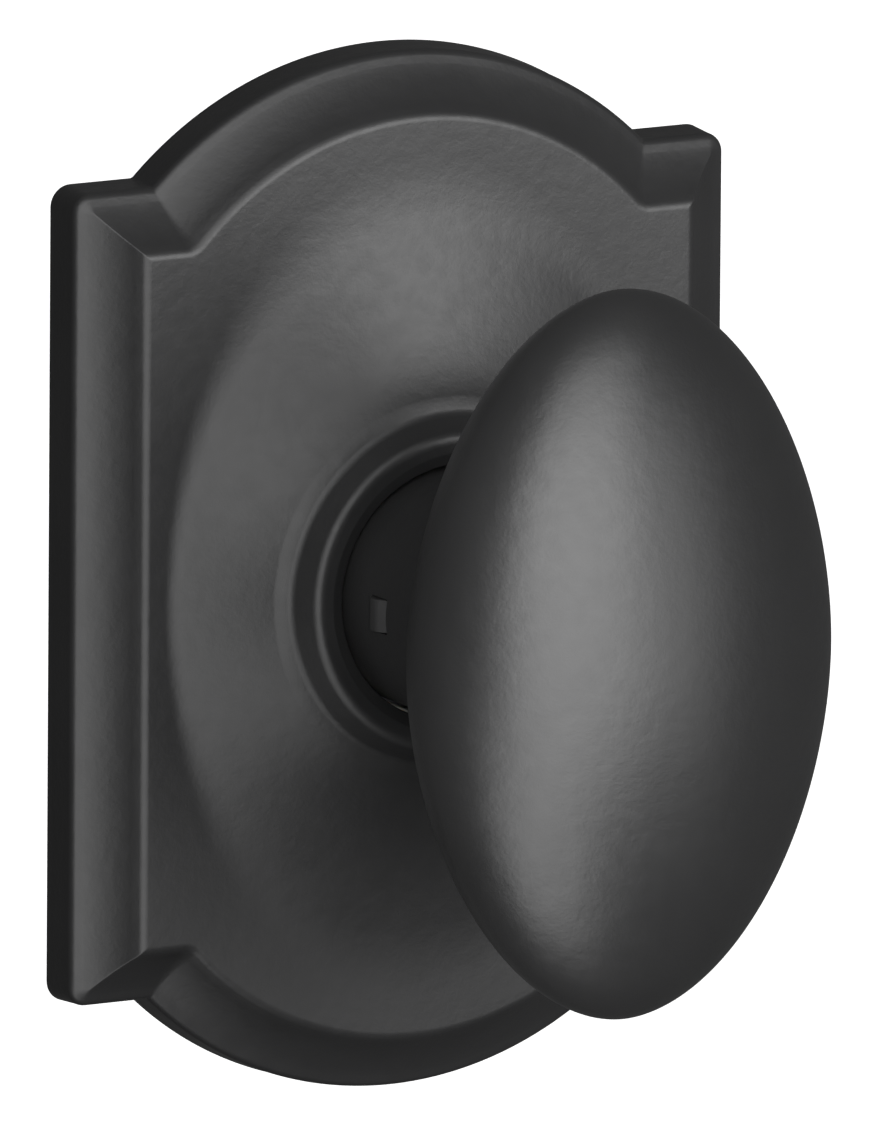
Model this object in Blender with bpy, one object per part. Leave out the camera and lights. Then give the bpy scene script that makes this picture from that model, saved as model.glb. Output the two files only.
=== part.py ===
"""Door knob half-set: oval knob on a shaped plate rosette, with its rose mechanism.

Frame: metres, +Z up, the knob's turning axis along Y. The origin is the centre of the
square spindle's free end. The room side, where the knob stands, is -Y and is called
front here. The door face is the plane y = -36 mm, and the door's inside lies towards +Y.

Every size and shape point below is in millimetres, as (x, h, z), where h is the height
above the door face towards the room: h = -36 - y. Angles run from +X towards +Z.
"""
import bpy
import bmesh
import math
from mathutils import Vector

MM = 0.001
ORIGIN_H = -36.0            # the frame origin lies this far behind the door face
SIDES = (-1, 1)

# ---------------------------------------------------------------- shared sizes
# rosette outline: rectangle with stepped shoulders and arched top and bottom
ROSE_HALF_W = 36.4
ROSE_SHOULDER_Z = 40.73
ROSE_HALF_H = 52.0

# drive and neck
PIN_H = 12.0                # cross pin through sleeve and spindle
PIN_BORE_R = 1.3
SLEEVE_R = 8.55
NECK_R = 12.2
SPIGOT_R = 10.1

# catch through the neck wall on the -X side
CATCH_H = 23.1
CATCH_LEN_H = 3.0
CATCH_LEN_Z = 3.3
CATCH_CLEAR = 0.3

# places shared by the plate and what stands on it
POST_X = 19.05
CAGE_SCREW_Z = 18.4
CAGE_SCREW_HOLE_R = 1.75
CLIP_RIVET_Z = 36.0
CLIP_RIVET_HOLE_R = 1.8

# return spring; angles in degrees
SPRING_R = 12.0
SPRING_WIRE_R = 0.6
SPRING_PITCH = 1.3
SPRING_TURNS = 2.25
SPRING_START_H = 4.1
SPRING_END_H = SPRING_START_H + SPRING_PITCH * SPRING_TURNS
SPRING_START_A = -480.0     # inner leg
SPRING_END_A = SPRING_START_A + 360.0 * SPRING_TURNS    # outer leg

# turning stops, in degrees
TURN_LIMIT = 60.0           # each way
LUG_A = 270.0               # the sleeve's lug points down
LUG_HALF = 9.0
STOP_HALF = 6.0
STOP_MARGIN = 1.5

# ---------------------------------------------------------------- materials
BLACK = dict(rgb=(0.022, 0.022, 0.024), metallic=0.6)
ZINC = dict(rgb=(0.55, 0.56, 0.58), metallic=1.0)
BRASS = dict(rgb=(0.62, 0.47, 0.22), metallic=1.0)
STEEL = dict(rgb=(0.42, 0.43, 0.45), metallic=1.0)
NYLON = dict(rgb=(0.78, 0.77, 0.72), metallic=0.0)


def material(name, rgb, metallic, roughness):
    mat = bpy.data.materials.new(name)
    mat.use_nodes = True
    inputs = mat.node_tree.nodes["Principled BSDF"].inputs
    inputs["Base Color"].default_value = (*rgb, 1.0)
    inputs["Metallic"].default_value = metallic
    inputs["Roughness"].default_value = roughness
    mat.diffuse_color = (*rgb, 1.0)
    return mat


# ---------------------------------------------------------------- objects
def make_mesh(name, shape, smooth_angle):
    """Object from a (points, faces) shape; a smooth_angle of None leaves it flat shaded."""
    points, faces = shape
    mesh = bpy.data.meshes.new(name)
    bm = bmesh.new()
    verts = [bm.verts.new((x * MM, (ORIGIN_H - h) * MM, z * MM)) for x, h, z in points]
    for face in faces:
        bm.faces.new([verts[i] for i in face])
    bmesh.ops.recalc_face_normals(bm, faces=bm.faces)
    bm.to_mesh(mesh)
    bm.free()
    if smooth_angle is not None:
        mesh.shade_smooth()
        mesh.set_sharp_from_angle(angle=math.radians(smooth_angle))
    ob = bpy.data.objects.new(name, mesh)
    bpy.context.scene.collection.objects.link(ob)
    return ob


def make_piece(name, shape, metal, roughness, smooth_angle=34.0):
    """Visible piece with a material of its own name."""
    ob = make_mesh(name, shape, smooth_angle)
    ob.data.materials.append(material(name, roughness=roughness, **metal))
    return ob


def boolean(ob, tool_name, shape, operation):
    tool = make_mesh(tool_name, shape, None)
    tool.hide_render = True
    tool.display_type = "WIRE"
    modifier = ob.modifiers.new(operation.lower() + "_" + tool_name, "BOOLEAN")
    modifier.operation = operation
    modifier.solver = "EXACT"
    modifier.object = tool


def cut(ob, label, shape):
    boolean(ob, "cut_" + label, shape, "DIFFERENCE")


def add(ob, label, shape):
    boolean(ob, "add_" + label, shape, "UNION")


# ---------------------------------------------------------------- shapes
def loft(rings, ends):
    """Join equal rings of points.

    ends is "loop" to join the last ring to the first, "flat" for flat end faces,
    or a pair of apex points that close the ends as fans.
    """
    size = len(rings[0])
    count = len(rings)
    points = [p for ring in rings for p in ring]
    faces = []
    for k in range(count if ends == "loop" else count - 1):
        near, far = k * size, (k + 1) % count * size
        for i in range(size):
            j = (i + 1) % size
            faces.append((near + i, near + j, far + j, far + i))
    if ends == "loop":
        return points, faces
    for k, base in enumerate((0, (count - 1) * size)):
        if ends == "flat":
            faces.append(tuple(range(base, base + size)))
        else:
            apex = len(points)
            points.append(ends[k])
            faces += [(base + i, base + (i + 1) % size, apex) for i in range(size)]
    return points, faces


def lathe(profile, segments, centre=(0.0, 0.0, 0.0), axis="Y"):
    """Revolve a (radius, along) profile about Y, along = h, or about Z, along = z.

    A profile that starts and ends on the axis closes as fans; any other is a loop.
    """
    cx, ch, cz = centre

    def place(radius, along, angle):
        a, b = radius * math.cos(angle), radius * math.sin(angle)
        if axis == "Y":
            return (cx + a, ch + along, cz + b)
        return (cx + a, ch + b, cz + along)

    angles = [2 * math.pi * i / segments for i in range(segments)]
    solid = profile[0][0] == 0
    stations = profile[1:-1] if solid else profile
    rings = [[place(r, s, t) for t in angles] for r, s in stations]
    if not solid:
        return loft(rings, "loop")
    return loft(rings, [place(0, profile[k][1], 0) for k in (0, -1)])


def prism_h(outline, h0, h1):
    """Extrude an (x, z) outline from height h0 to h1."""
    return loft([[(x, h, z) for x, z in outline] for h in (h0, h1)], "flat")


def prism_x(outline, x0, x1):
    """Extrude an (h, z) outline from x0 to x1."""
    return loft([[(x, h, z) for h, z in outline] for x in (x0, x1)], "flat")


def box(x0, x1, h0, h1, z0, z1):
    return prism_h([(x0, z0), (x1, z0), (x1, z1), (x0, z1)], h0, h1)


def cylinder(radius, s0, s1, segments, centre=(0.0, 0.0, 0.0), axis="Y"):
    return lathe([(0, s0), (radius, s0), (radius, s1), (0, s1)], segments, centre, axis)


def polar(radius, degrees):
    angle = math.radians(degrees)
    return radius * math.cos(angle), radius * math.sin(angle)


def arc(radius, a0, a1, steps):
    return [polar(radius, a0 + (a1 - a0) * i / steps) for i in range(steps + 1)]


def sector(r0, r1, a0, a1, h0, h1, steps):
    """Ring sector between radii and angles (degrees), from h0 to h1."""
    return prism_h(arc(r1, a0, a1, steps) + arc(r0, a0, a1, steps)[::-1], h0, h1)


def merge(*shapes):
    points, faces = [], []
    for more_points, more_faces in shapes:
        offset = len(points)
        points += more_points
        faces += [tuple(i + offset for i in face) for face in more_faces]
    return points, faces


def tube(path, radius, segments):
    """Round wire along a list of points, with flat ends."""
    path = [Vector(p) for p in path]
    rings = []
    up = None
    for k, p in enumerate(path):
        if k == 0:
            along = path[1] - p
        elif k == len(path) - 1:
            along = p - path[-2]
        else:
            along = (path[k + 1] - p).normalized() + (p - path[k - 1]).normalized()
        along.normalize()
        if up is None:
            up = Vector((0, -1, 0)) if abs(along.y) < 0.8 else Vector((1, 0, 0))
        # carry the last direction on, so that the wire does not twist
        up = (up - along * up.dot(along)).normalized()
        side = up.cross(along)
        angles = [2 * math.pi * i / segments for i in range(segments)]
        rings.append([tuple(p + (up * math.cos(t) + side * math.sin(t)) * radius)
                      for t in angles])
    return loft(rings, "flat")


# ---------------------------------------------------------------- rosette
ROSE_STEP = 8.96            # shoulder width before the arch starts
ROSE_CORNER_R = 2.15
ROSE_MIN_CORNER_R = 0.3
EDGE_STEPS, CORNER_STEPS, SHOULDER_STEPS, ARCH_STEPS = 3, 2, 2, 5
WALL_H = 4.2                # height of the outer side wall
WALL_INSET = 1.9            # inner face of that wall
WALL_INNER_CORNER_R = 0.4
FIELD_INSET = 6.6           # raised field edge, measured inward from the outline
FIELD_H = 8.5
DOME_A, DOME_C = 28.0, 41.0  # oval dome on the field, half axes in X and Z
DOME_TOP_R = 18.0
DOME_TOP_H = 12.6
DOME_EXP = 1.8
COLLAR_H = 16.8             # top of the round collar
COLLAR_R = 16.0
COLLAR_BORE_R = 12.75
POCKET_R = 14.2             # pocket for the neck bushing
POCKET_TOP_H = 15.0


def rose_ring(inset, h, corner_r=None):
    """One closed loop of the rosette outline, moved inward by inset, at height h."""
    arch_half_w = ROSE_HALF_W - ROSE_STEP
    sag = ROSE_HALF_H - ROSE_SHOULDER_Z
    arch_r = (arch_half_w ** 2 + sag ** 2) / (2 * sag)
    arch_z = ROSE_HALF_H - arch_r
    arch_r -= inset
    shoulder_z, side_x = ROSE_SHOULDER_Z - inset, ROSE_HALF_W - inset
    arch_x = math.sqrt(arch_r ** 2 - (shoulder_z - arch_z) ** 2)
    if corner_r is None:
        corner_r = max(ROSE_CORNER_R - inset, ROSE_MIN_CORNER_R)
    corner_x, corner_z = side_x - corner_r, shoulder_z - corner_r

    # quarter from +X to just short of +Z: side, corner, shoulder, arch
    quarter = [(side_x, corner_z * i / EDGE_STEPS) for i in range(EDGE_STEPS)]
    quarter += [(corner_x + x, corner_z + z) for x, z in arc(corner_r, 0, 90, CORNER_STEPS)]
    quarter += [(corner_x + (arch_x - corner_x) * i / SHOULDER_STEPS, shoulder_z)
                for i in range(1, SHOULDER_STEPS)]
    arch_angle = math.atan2(arch_x, shoulder_z - arch_z)
    for i in range(ARCH_STEPS):
        t = arch_angle * (1 - i / ARCH_STEPS)
        quarter.append((arch_r * math.sin(t), arch_z + arch_r * math.cos(t)))

    top_z = arch_z + arch_r
    back = quarter[:0:-1]
    loop = quarter + [(0.0, top_z)] + [(-x, z) for x, z in back]
    loop += [(-side_x, 0.0)] + [(-x, -z) for x, z in quarter[1:]]
    loop += [(0.0, -top_z)] + [(x, -z) for x, z in back]
    return [(x, h, z) for x, z in loop]


# ovals share these angles, so that their points line up with the field edge
OVAL_ANGLES = [math.atan2(z / (ROSE_HALF_H - FIELD_INSET), x / (ROSE_HALF_W - FIELD_INSET))
               for x, _, z in rose_ring(FIELD_INSET, 0)]


def oval_ring(half_x, half_z, h):
    return [(half_x * math.cos(t), h, half_z * math.sin(t)) for t in OVAL_ANGLES]


def round_ring(radius, h):
    return oval_ring(radius, radius, h)


def dome_ring(s, lower=0.0):
    """Oval dome, s = 0 at its foot on the field, s = 1 at the collar."""
    half_x = DOME_A + (DOME_TOP_R - DOME_A) * s
    half_z = DOME_C + (DOME_TOP_R - DOME_C) * s
    h = FIELD_H + (DOME_TOP_H - FIELD_H) * (1 - (1 - s) ** DOME_EXP)
    return oval_ring(half_x, half_z, h - lower)


def build_rosette():
    rings = [
        # outer wall and the slope up to the field
        rose_ring(0.0, 0.0),
        rose_ring(0.05, WALL_H - 1.3),
        rose_ring(0.4, WALL_H - 0.35),
        rose_ring(1.2, WALL_H),
        rose_ring(2.7, 4.95),
        rose_ring(4.1, 5.9),
        rose_ring(5.3, 7.2),
        rose_ring(5.85, 8.1),
        rose_ring(FIELD_INSET, FIELD_H),
        # dome
        *[dome_ring(s) for s in (0.0, 0.22, 0.5, 0.8, 1.0)],
        # collar
        round_ring(16.9, 12.95),
        round_ring(16.4, 13.8),
        round_ring(COLLAR_R, COLLAR_H - 1.3),
        round_ring(15.4, COLLAR_H - 0.55),
        round_ring(14.2, COLLAR_H),
        # bore and bushing pocket
        round_ring(COLLAR_BORE_R, COLLAR_H),
        round_ring(COLLAR_BORE_R, POCKET_TOP_H),
        round_ring(POCKET_R, POCKET_TOP_H),
        round_ring(POCKET_R, 11.3),
        # hollow underside, back out to the wall
        round_ring(17.6, 11.0),
        dome_ring(0.5, lower=1.6),
        oval_ring(27.4, 40.2, 7.2),
        rose_ring(7.9, 7.0),
        rose_ring(6.3, 5.5),
        rose_ring(4.3, 4.0),
        rose_ring(2.4, 2.8),
        rose_ring(WALL_INSET, 1.4, WALL_INNER_CORNER_R),
        rose_ring(WALL_INSET, 0.0, WALL_INNER_CORNER_R),
    ]
    make_piece("rosette", loft(rings, "loop"), BLACK, roughness=0.42, smooth_angle=30)


# ---------------------------------------------------------------- mounting plate
PLATE_T = 1.6
PLATE_HALF_W, PLATE_HALF_H, PLATE_CORNER_R = 29.0, 42.0, 14.0
PLATE_BORE_R = 8.95
PLATE_POST_HOLE_R = 2.6
STOP_R0, STOP_R1 = 11.2, 13.3
STOP_TOP_H = 3.2


def build_mounting_plate():
    outline = []
    for x_sign, z_sign, a0 in ((1, 1, 0), (-1, 1, 90), (-1, -1, 180), (1, -1, 270)):
        outline += [(x_sign * (PLATE_HALF_W - PLATE_CORNER_R) + x,
                     z_sign * (PLATE_HALF_H - PLATE_CORNER_R) + z)
                    for x, z in arc(PLATE_CORNER_R, a0, a0 + 90, 6)]
    plate = make_piece("mounting_plate", prism_h(outline, 0.0, PLATE_T), ZINC, roughness=0.38)

    holes = [cylinder(PLATE_BORE_R, -1, 3, 32)]
    stops = []
    for s in SIDES:
        holes += [
            cylinder(PLATE_POST_HOLE_R, -1, 3, 16, (s * POST_X, 0, 0)),
            cylinder(CAGE_SCREW_HOLE_R, -1, 3, 14, (0, 0, s * CAGE_SCREW_Z)),
            cylinder(CLIP_RIVET_HOLE_R, -1, 3, 14, (0, 0, s * CLIP_RIVET_Z)),
        ]
        middle = LUG_A + s * (TURN_LIMIT + LUG_HALF + STOP_MARGIN + STOP_HALF)
        stops.append(sector(STOP_R0, STOP_R1, middle - STOP_HALF, middle + STOP_HALF,
                            PLATE_T - 0.6, STOP_TOP_H, 3))
    cut(plate, "plate_holes", merge(*holes))
    add(plate, "plate_stops", merge(*stops))


# ---------------------------------------------------------------- through-bolt posts
POST_R = 3.8
POST_WAIST_R = 2.3          # where it passes through the plate
POST_BORE_R = 1.9
POST_BACK_H = -20.0
POST_PROFILE = [            # (radius, h)
    (0, 2.9), (3.3, 2.9), (POST_R, 2.5), (POST_R, 1.9),
    (POST_WAIST_R, 1.9), (POST_WAIST_R, -0.3), (POST_R, -0.3),
    (POST_R, POST_BACK_H + 0.6), (3.2, POST_BACK_H), (POST_BORE_R, POST_BACK_H),
    (POST_BORE_R, -5.0), (0, -5.8),
]


def build_posts():
    for side, s in (("left", -1), ("right", 1)):
        shape = lathe(POST_PROFILE, 16, (s * POST_X, 0, 0))
        make_piece("post_" + side, shape, ZINC, roughness=0.35)


# ---------------------------------------------------------------- rosette spring clips
CLIP_LINE = [(2.2, 32.5), (2.2, 41.0), (3.1, 44.3), (2.9, 46.8), (1.3, 49.0)]  # (h, z)
CLIP_HALF_T = 0.3
CLIP_HALF_W = 5.0
CLIP_RIVET_PROFILE = [      # (radius, h)
    (0, 3.9), (1.4, 3.8), (2.3, 3.4), (2.6, 2.8), (1.5, 2.8), (1.5, 0.15), (0, 0.15),
]


def strip_outline(line, half_t):
    """Outline of a bent strip about its middle line."""
    left, right = [], []
    for k, (h, z) in enumerate(line):
        before, after = line[max(k - 1, 0)], line[min(k + 1, len(line) - 1)]
        along_h, along_z = after[0] - before[0], after[1] - before[1]
        length = math.hypot(along_h, along_z)
        offset_h, offset_z = along_z / length * half_t, -along_h / length * half_t
        left.append((h + offset_h, z + offset_z))
        right.append((h - offset_h, z - offset_z))
    return left + right[::-1]


def build_clips():
    for side, s in (("top", 1), ("bottom", -1)):
        rivet_centre = (0, 0, s * CLIP_RIVET_Z)
        outline = [(h, s * z) for h, z in strip_outline(CLIP_LINE, CLIP_HALF_T)]
        clip = make_piece("clip_" + side, prism_x(outline, -CLIP_HALF_W, CLIP_HALF_W),
                          STEEL, roughness=0.3)
        cut(clip, "clip_" + side, cylinder(CLIP_RIVET_HOLE_R, 0, 4, 14, rivet_centre))
        make_piece("clip_rivet_" + side, lathe(CLIP_RIVET_PROFILE, 16, rivet_centre),
                   ZINC, roughness=0.3)


# ---------------------------------------------------------------- spring cage
CAGE_R = 14.9
CAGE_INNER_R = CAGE_R - 1.0
CAGE_BORE_R = 10.4
CAGE_BACK_H, CAGE_ROOF_H, CAGE_TOP_H = 1.9, 8.0, 9.0
CAGE_PROFILE = [            # (radius, h)
    (CAGE_R, CAGE_BACK_H), (CAGE_R, 8.6), (CAGE_R - 0.5, CAGE_TOP_H),
    (CAGE_BORE_R, CAGE_TOP_H), (CAGE_BORE_R, CAGE_ROOF_H),
    (CAGE_INNER_R, CAGE_ROOF_H), (CAGE_INNER_R, CAGE_BACK_H),
]
FOOT_TOP_H = 2.9
FOOT_HALF_W = 4.5
FOOT_CHAMFER = 1.5
FOOT_Z0, FOOT_Z1 = CAGE_R - 0.6, CAGE_SCREW_Z + 3.2
SLOT_R = 14.4               # wall slot for the spring's outer leg
SLOT_HALF_RADIAL, SLOT_HALF_ACROSS = 1.6, 1.4
CAGE_SCREW_PROFILE = [      # (radius, h)
    (0, 4.9), (1.5, 4.8), (2.5, 4.3), (2.9, 3.2),
    (1.45, 3.2), (1.45, -0.9), (1.0, -1.5), (0, -1.5),
]


def cage_foot(s):
    tip_x, chamfer_z = FOOT_HALF_W - FOOT_CHAMFER, FOOT_Z1 - FOOT_CHAMFER
    outline = [(-FOOT_HALF_W, FOOT_Z0), (-FOOT_HALF_W, chamfer_z), (-tip_x, FOOT_Z1),
               (tip_x, FOOT_Z1), (FOOT_HALF_W, chamfer_z), (FOOT_HALF_W, FOOT_Z0)]
    return prism_h([(x, s * z) for x, z in outline], CAGE_BACK_H, FOOT_TOP_H)


def cage_slot():
    cos_a, sin_a = polar(1.0, SPRING_END_A)
    u, w = SLOT_HALF_RADIAL, SLOT_HALF_ACROSS
    outline = [(SLOT_R * cos_a + radial * cos_a - across * sin_a,
                SLOT_R * sin_a + radial * sin_a + across * cos_a)
               for radial, across in ((-u, -w), (u, -w), (u, w), (-u, w))]
    return prism_h(outline, SPRING_END_H - 1.3, CAGE_ROOF_H - 0.05)


def build_spring_cage():
    cage = make_piece("spring_cage", lathe(CAGE_PROFILE, 36), ZINC, roughness=0.42)
    holes = [cylinder(CAGE_SCREW_HOLE_R, 1, 4, 14, (0, 0, s * CAGE_SCREW_Z)) for s in SIDES]
    add(cage, "cage_feet", merge(*[cage_foot(s) for s in SIDES]))
    cut(cage, "cage_holes", merge(*holes, cage_slot()))


def build_cage_screws():
    for side, s in (("top", 1), ("bottom", -1)):
        z = s * CAGE_SCREW_Z
        screw = make_piece("cage_screw_" + side, lathe(CAGE_SCREW_PROFILE, 16, (0, 0, z)),
                           ZINC, roughness=0.3)
        cut(screw, "screw_" + side, box(-1.4, 1.4, 4.0, 5.5, z - 0.3, z + 0.3))


# ---------------------------------------------------------------- bushings and rings
CAGE_BUSHING_PROFILE = [    # (radius, h), as are the two below
    (8.85, 7.2), (10.1, 7.2), (10.1, 9.3), (12.0, 9.3), (12.0, 10.1), (8.85, 10.1),
]
NECK_BUSHING_PROFILE = [(12.5, 11.2), (13.9, 11.2), (13.9, 14.6), (12.5, 14.6)]
WASHER_PROFILE = [(8.95, -0.3), (8.95, -1.1), (12.2, -1.1), (12.2, -0.3)]
RETAINER_R0, RETAINER_R1 = 7.9, 10.9
RETAINER_HALF_GAP = 22.0    # degrees each side of +Z


def build_bushings_and_rings():
    make_piece("cage_bushing", lathe(CAGE_BUSHING_PROFILE, 28), NYLON, roughness=0.5)
    make_piece("neck_bushing", lathe(NECK_BUSHING_PROFILE, 32), NYLON, roughness=0.5)
    make_piece("thrust_washer", lathe(WASHER_PROFILE, 28), BRASS, roughness=0.35)
    retainer = sector(RETAINER_R0, RETAINER_R1, 90 + RETAINER_HALF_GAP,
                      450 - RETAINER_HALF_GAP, -1.5, -2.4, 24)
    make_piece("retaining_ring", retainer, STEEL, roughness=0.3)


# ---------------------------------------------------------------- return spring
def build_return_spring():
    steps = round(SPRING_TURNS * 16)
    # (radius, turned fraction): inner leg, coil, outer leg
    stations = [(9.0, 0.0), (10.9, 0.0)]
    stations += [(SPRING_R, i / steps) for i in range(1, steps)]
    stations += [(12.9, 1.0), (16.0, 1.0)]
    path = []
    for radius, part in stations:
        x, z = polar(radius, SPRING_START_A + 360.0 * SPRING_TURNS * part)
        path.append((x, SPRING_START_H + SPRING_PITCH * SPRING_TURNS * part, z))
    make_piece("return_spring", tube(path, SPRING_WIRE_R, 6), STEEL,
               roughness=0.25, smooth_angle=60)


# ---------------------------------------------------------------- drive sleeve
SLEEVE_BACK_H = -3.6
SLEEVE_FRONT_H = 27.5
GROOVE_R = 7.6              # retaining ring groove
FLANGE_R = 10.2
SQUARE_BORE = 8.2
SQUARE_BORE_END_H = 19.0
CATCH_BORE_R = 6.0
SLEEVE_PROFILE = [          # (radius, h)
    (0, SLEEVE_BACK_H), (SLEEVE_R, SLEEVE_BACK_H),
    (SLEEVE_R, -2.7), (GROOVE_R, -2.7), (GROOVE_R, -1.2), (SLEEVE_R, -1.2),
    (SLEEVE_R, 2.0), (FLANGE_R, 2.0), (FLANGE_R, 3.2), (SLEEVE_R, 3.2),
    (SLEEVE_R, SLEEVE_FRONT_H - 0.8), (SLEEVE_R - 0.8, SLEEVE_FRONT_H),
    (CATCH_BORE_R, SLEEVE_FRONT_H), (CATCH_BORE_R, SQUARE_BORE_END_H),
    (0, SQUARE_BORE_END_H),
]
KEY_HALF_Z = 1.5            # key on the +X side
ANCHOR_A = SPRING_START_A - 14.0    # beside the spring's inner leg
ANCHOR_HALF = 6.0


def catch_window(x0, x1):
    """Cutter for the catch's opening, with clearance all round."""
    half_h, half_z = CATCH_LEN_H / 2, CATCH_LEN_Z / 2
    return box(x0, x1, CATCH_H - half_h - CATCH_CLEAR, CATCH_H + half_h + CATCH_CLEAR,
               -half_z - CATCH_CLEAR, half_z + CATCH_CLEAR)


def build_drive_sleeve():
    sleeve = make_piece("drive_sleeve", lathe(SLEEVE_PROFILE, 32), ZINC, roughness=0.4)
    add(sleeve, "sleeve_lug",
        sector(9.6, 13.0, LUG_A - LUG_HALF, LUG_A + LUG_HALF, 2.2, 3.0, 3))
    add(sleeve, "sleeve_key", box(7.6, 10.0, 12.0, 27.0, -KEY_HALF_Z, KEY_HALF_Z))
    add(sleeve, "sleeve_anchor",
        sector(8.2, 10.2, ANCHOR_A - ANCHOR_HALF, ANCHOR_A + ANCHOR_HALF, 2.6, 4.9, 2))
    half = SQUARE_BORE / 2
    cut(sleeve, "sleeve_square",
        box(-half, half, SLEEVE_BACK_H - 1, SQUARE_BORE_END_H + 0.5, -half, half))
    cut(sleeve, "sleeve_pin", cylinder(PIN_BORE_R, -10, 10, 14, (0, PIN_H, 0), "Z"))
    cut(sleeve, "sleeve_catch", catch_window(-10, -4))


# ---------------------------------------------------------------- spindle and its pin
SPINDLE_WIDTH = 7.6
SPINDLE_FRONT_H = 18.6
SPINDLE_BACK_H = ORIGIN_H
SPINDLE_EDGE_CHAMFER = 0.5
SPINDLE_FRONT_CHAMFER, SPINDLE_BACK_CHAMFER = 0.7, 1.2
PIN_PROFILE = [             # (radius, z)
    (0.5, -8.3), (0.8, -8.3), (1.0, -8.0), (1.0, 8.0), (0.8, 8.3), (0.5, 8.3),
]


def spindle_ring(h, inset):
    e = SPINDLE_WIDTH / 2 - inset
    c = e - SPINDLE_EDGE_CHAMFER
    outline = [(e, -c), (e, c), (c, e), (-c, e), (-e, c), (-e, -c), (-c, -e), (c, -e)]
    return [(x, h, z) for x, z in outline]


def build_spindle():
    rings = [
        spindle_ring(SPINDLE_FRONT_H, SPINDLE_FRONT_CHAMFER),
        spindle_ring(SPINDLE_FRONT_H - SPINDLE_FRONT_CHAMFER, 0),
        spindle_ring(SPINDLE_BACK_H + SPINDLE_BACK_CHAMFER, 0),
        spindle_ring(SPINDLE_BACK_H, SPINDLE_BACK_CHAMFER),
    ]
    spindle = make_piece("spindle", loft(rings, "flat"), ZINC, roughness=0.4, smooth_angle=20)
    cut(spindle, "spindle_pin", cylinder(PIN_BORE_R, -8, 8, 14, (0, PIN_H, 0), "Z"))
    make_piece("spindle_pin", lathe(PIN_PROFILE, 12, (0, PIN_H, 0), "Z"), STEEL, roughness=0.3)


# ---------------------------------------------------------------- neck
NECK_BACK_H = 10.6          # rear end of the neck, inside the rosette
NECK_BORE_R = 8.9
NECK_BORE_END_H = 29.0
NECK_SHOULDER_H = 39.1
SPIGOT_END_H = 44.6
SPIGOT_BORE_R = 6.0
KEYWAY_HALF_Z = 1.85
NECK_PROFILE = [            # (radius, h)
    (NECK_R - 0.5, NECK_BACK_H), (NECK_R, NECK_BACK_H + 0.5), (NECK_R, 35.6),
    (12.45, 37.2), (13.1, 38.4), (14.4, NECK_SHOULDER_H),
    (SPIGOT_R, NECK_SHOULDER_H), (SPIGOT_R, SPIGOT_END_H - 0.6),
    (SPIGOT_R - 0.6, SPIGOT_END_H), (SPIGOT_BORE_R, SPIGOT_END_H),
    (SPIGOT_BORE_R, NECK_BORE_END_H), (NECK_BORE_R, NECK_BORE_END_H),
    (NECK_BORE_R, NECK_BACK_H),
]


def build_neck():
    neck = make_piece("knob_neck", lathe(NECK_PROFILE, 40), BLACK, roughness=0.42)
    cut(neck, "neck_window", catch_window(-14, -7))
    cut(neck, "neck_keyway", box(7.0, 10.4, 9.0, 28.2, -KEYWAY_HALF_Z, KEYWAY_HALF_Z))


# ---------------------------------------------------------------- catch and its spring
CATCH_TIP_X = -12.6
CATCH_CHAMFER = 0.5
CATCH_FOOT_X0, CATCH_FOOT_X1 = -5.0, -3.6
CATCH_FOOT_HALF_Z = 2.7
COIL_X0, COIL_X1 = -3.05, 5.1
COIL_R = 1.6
COIL_WIRE_R = 0.25
COIL_TURNS = 5
COIL_TURN_STEPS = 10


def build_catch():
    half_z, foot_z = CATCH_LEN_Z / 2, CATCH_FOOT_HALF_Z
    chamfer_x = CATCH_TIP_X + CATCH_CHAMFER
    outline = [
        (CATCH_TIP_X, -half_z + CATCH_CHAMFER), (CATCH_TIP_X, half_z - CATCH_CHAMFER),
        (chamfer_x, half_z), (CATCH_FOOT_X0, half_z),
        (CATCH_FOOT_X0, foot_z), (CATCH_FOOT_X1, foot_z),
        (CATCH_FOOT_X1, -foot_z), (CATCH_FOOT_X0, -foot_z),
        (CATCH_FOOT_X0, -half_z), (chamfer_x, -half_z),
    ]
    shape = prism_h(outline, CATCH_H - CATCH_LEN_H / 2, CATCH_H + CATCH_LEN_H / 2)
    make_piece("knob_catch", shape, STEEL, roughness=0.4, smooth_angle=None)


def build_catch_spring():
    steps = COIL_TURNS * COIL_TURN_STEPS
    path = []
    for i in range(steps + 1):
        across_h, across_z = polar(COIL_R, 360 * i / COIL_TURN_STEPS)
        path.append((COIL_X0 + (COIL_X1 - COIL_X0) * i / steps, CATCH_H + across_h, across_z))
    make_piece("catch_spring", tube(path, COIL_WIRE_R, 5), STEEL,
               roughness=0.25, smooth_angle=70)


# ---------------------------------------------------------------- knob shells
KNOB_A, KNOB_C = 22.3, 36.15  # rim half axes in X and Z
KNOB_ROOT_R = 12.6          # the back curves in to this radius
KNOB_RIM_H = 50.5
KNOB_FRONT_D = 13.5
KNOB_BACK_D = 11.0
KNOB_FRONT_EXP = 1.8
KNOB_PLAN_EXP = 1.89
KNOB_SEGMENTS = 40
KNOB_SKIN = 1.4
SEAM_H = 45.2
FRONT_EDGE_H = SEAM_H + 0.3
REAR_BORE_R = 10.45
FRONT_OUTER_H = [FRONT_EDGE_H, 47.2, 49.0, KNOB_RIM_H, 52.2, 54.2, 56.5, 58.8, 60.9, 62.5, 63.5]
FRONT_INNER = [             # (h on the outer surface, inset, shift in h)
    (FRONT_EDGE_H, 1.5, 0), (47.6, 1.45, 0), (KNOB_RIM_H, KNOB_SKIN, 0), (53.8, 1.5, -0.15),
    (56.8, 1.7, -0.5), (59.6, 1.8, -0.9), (61.7, 1.8, -1.2), (63.2, 1.7, -1.35),
]


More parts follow.
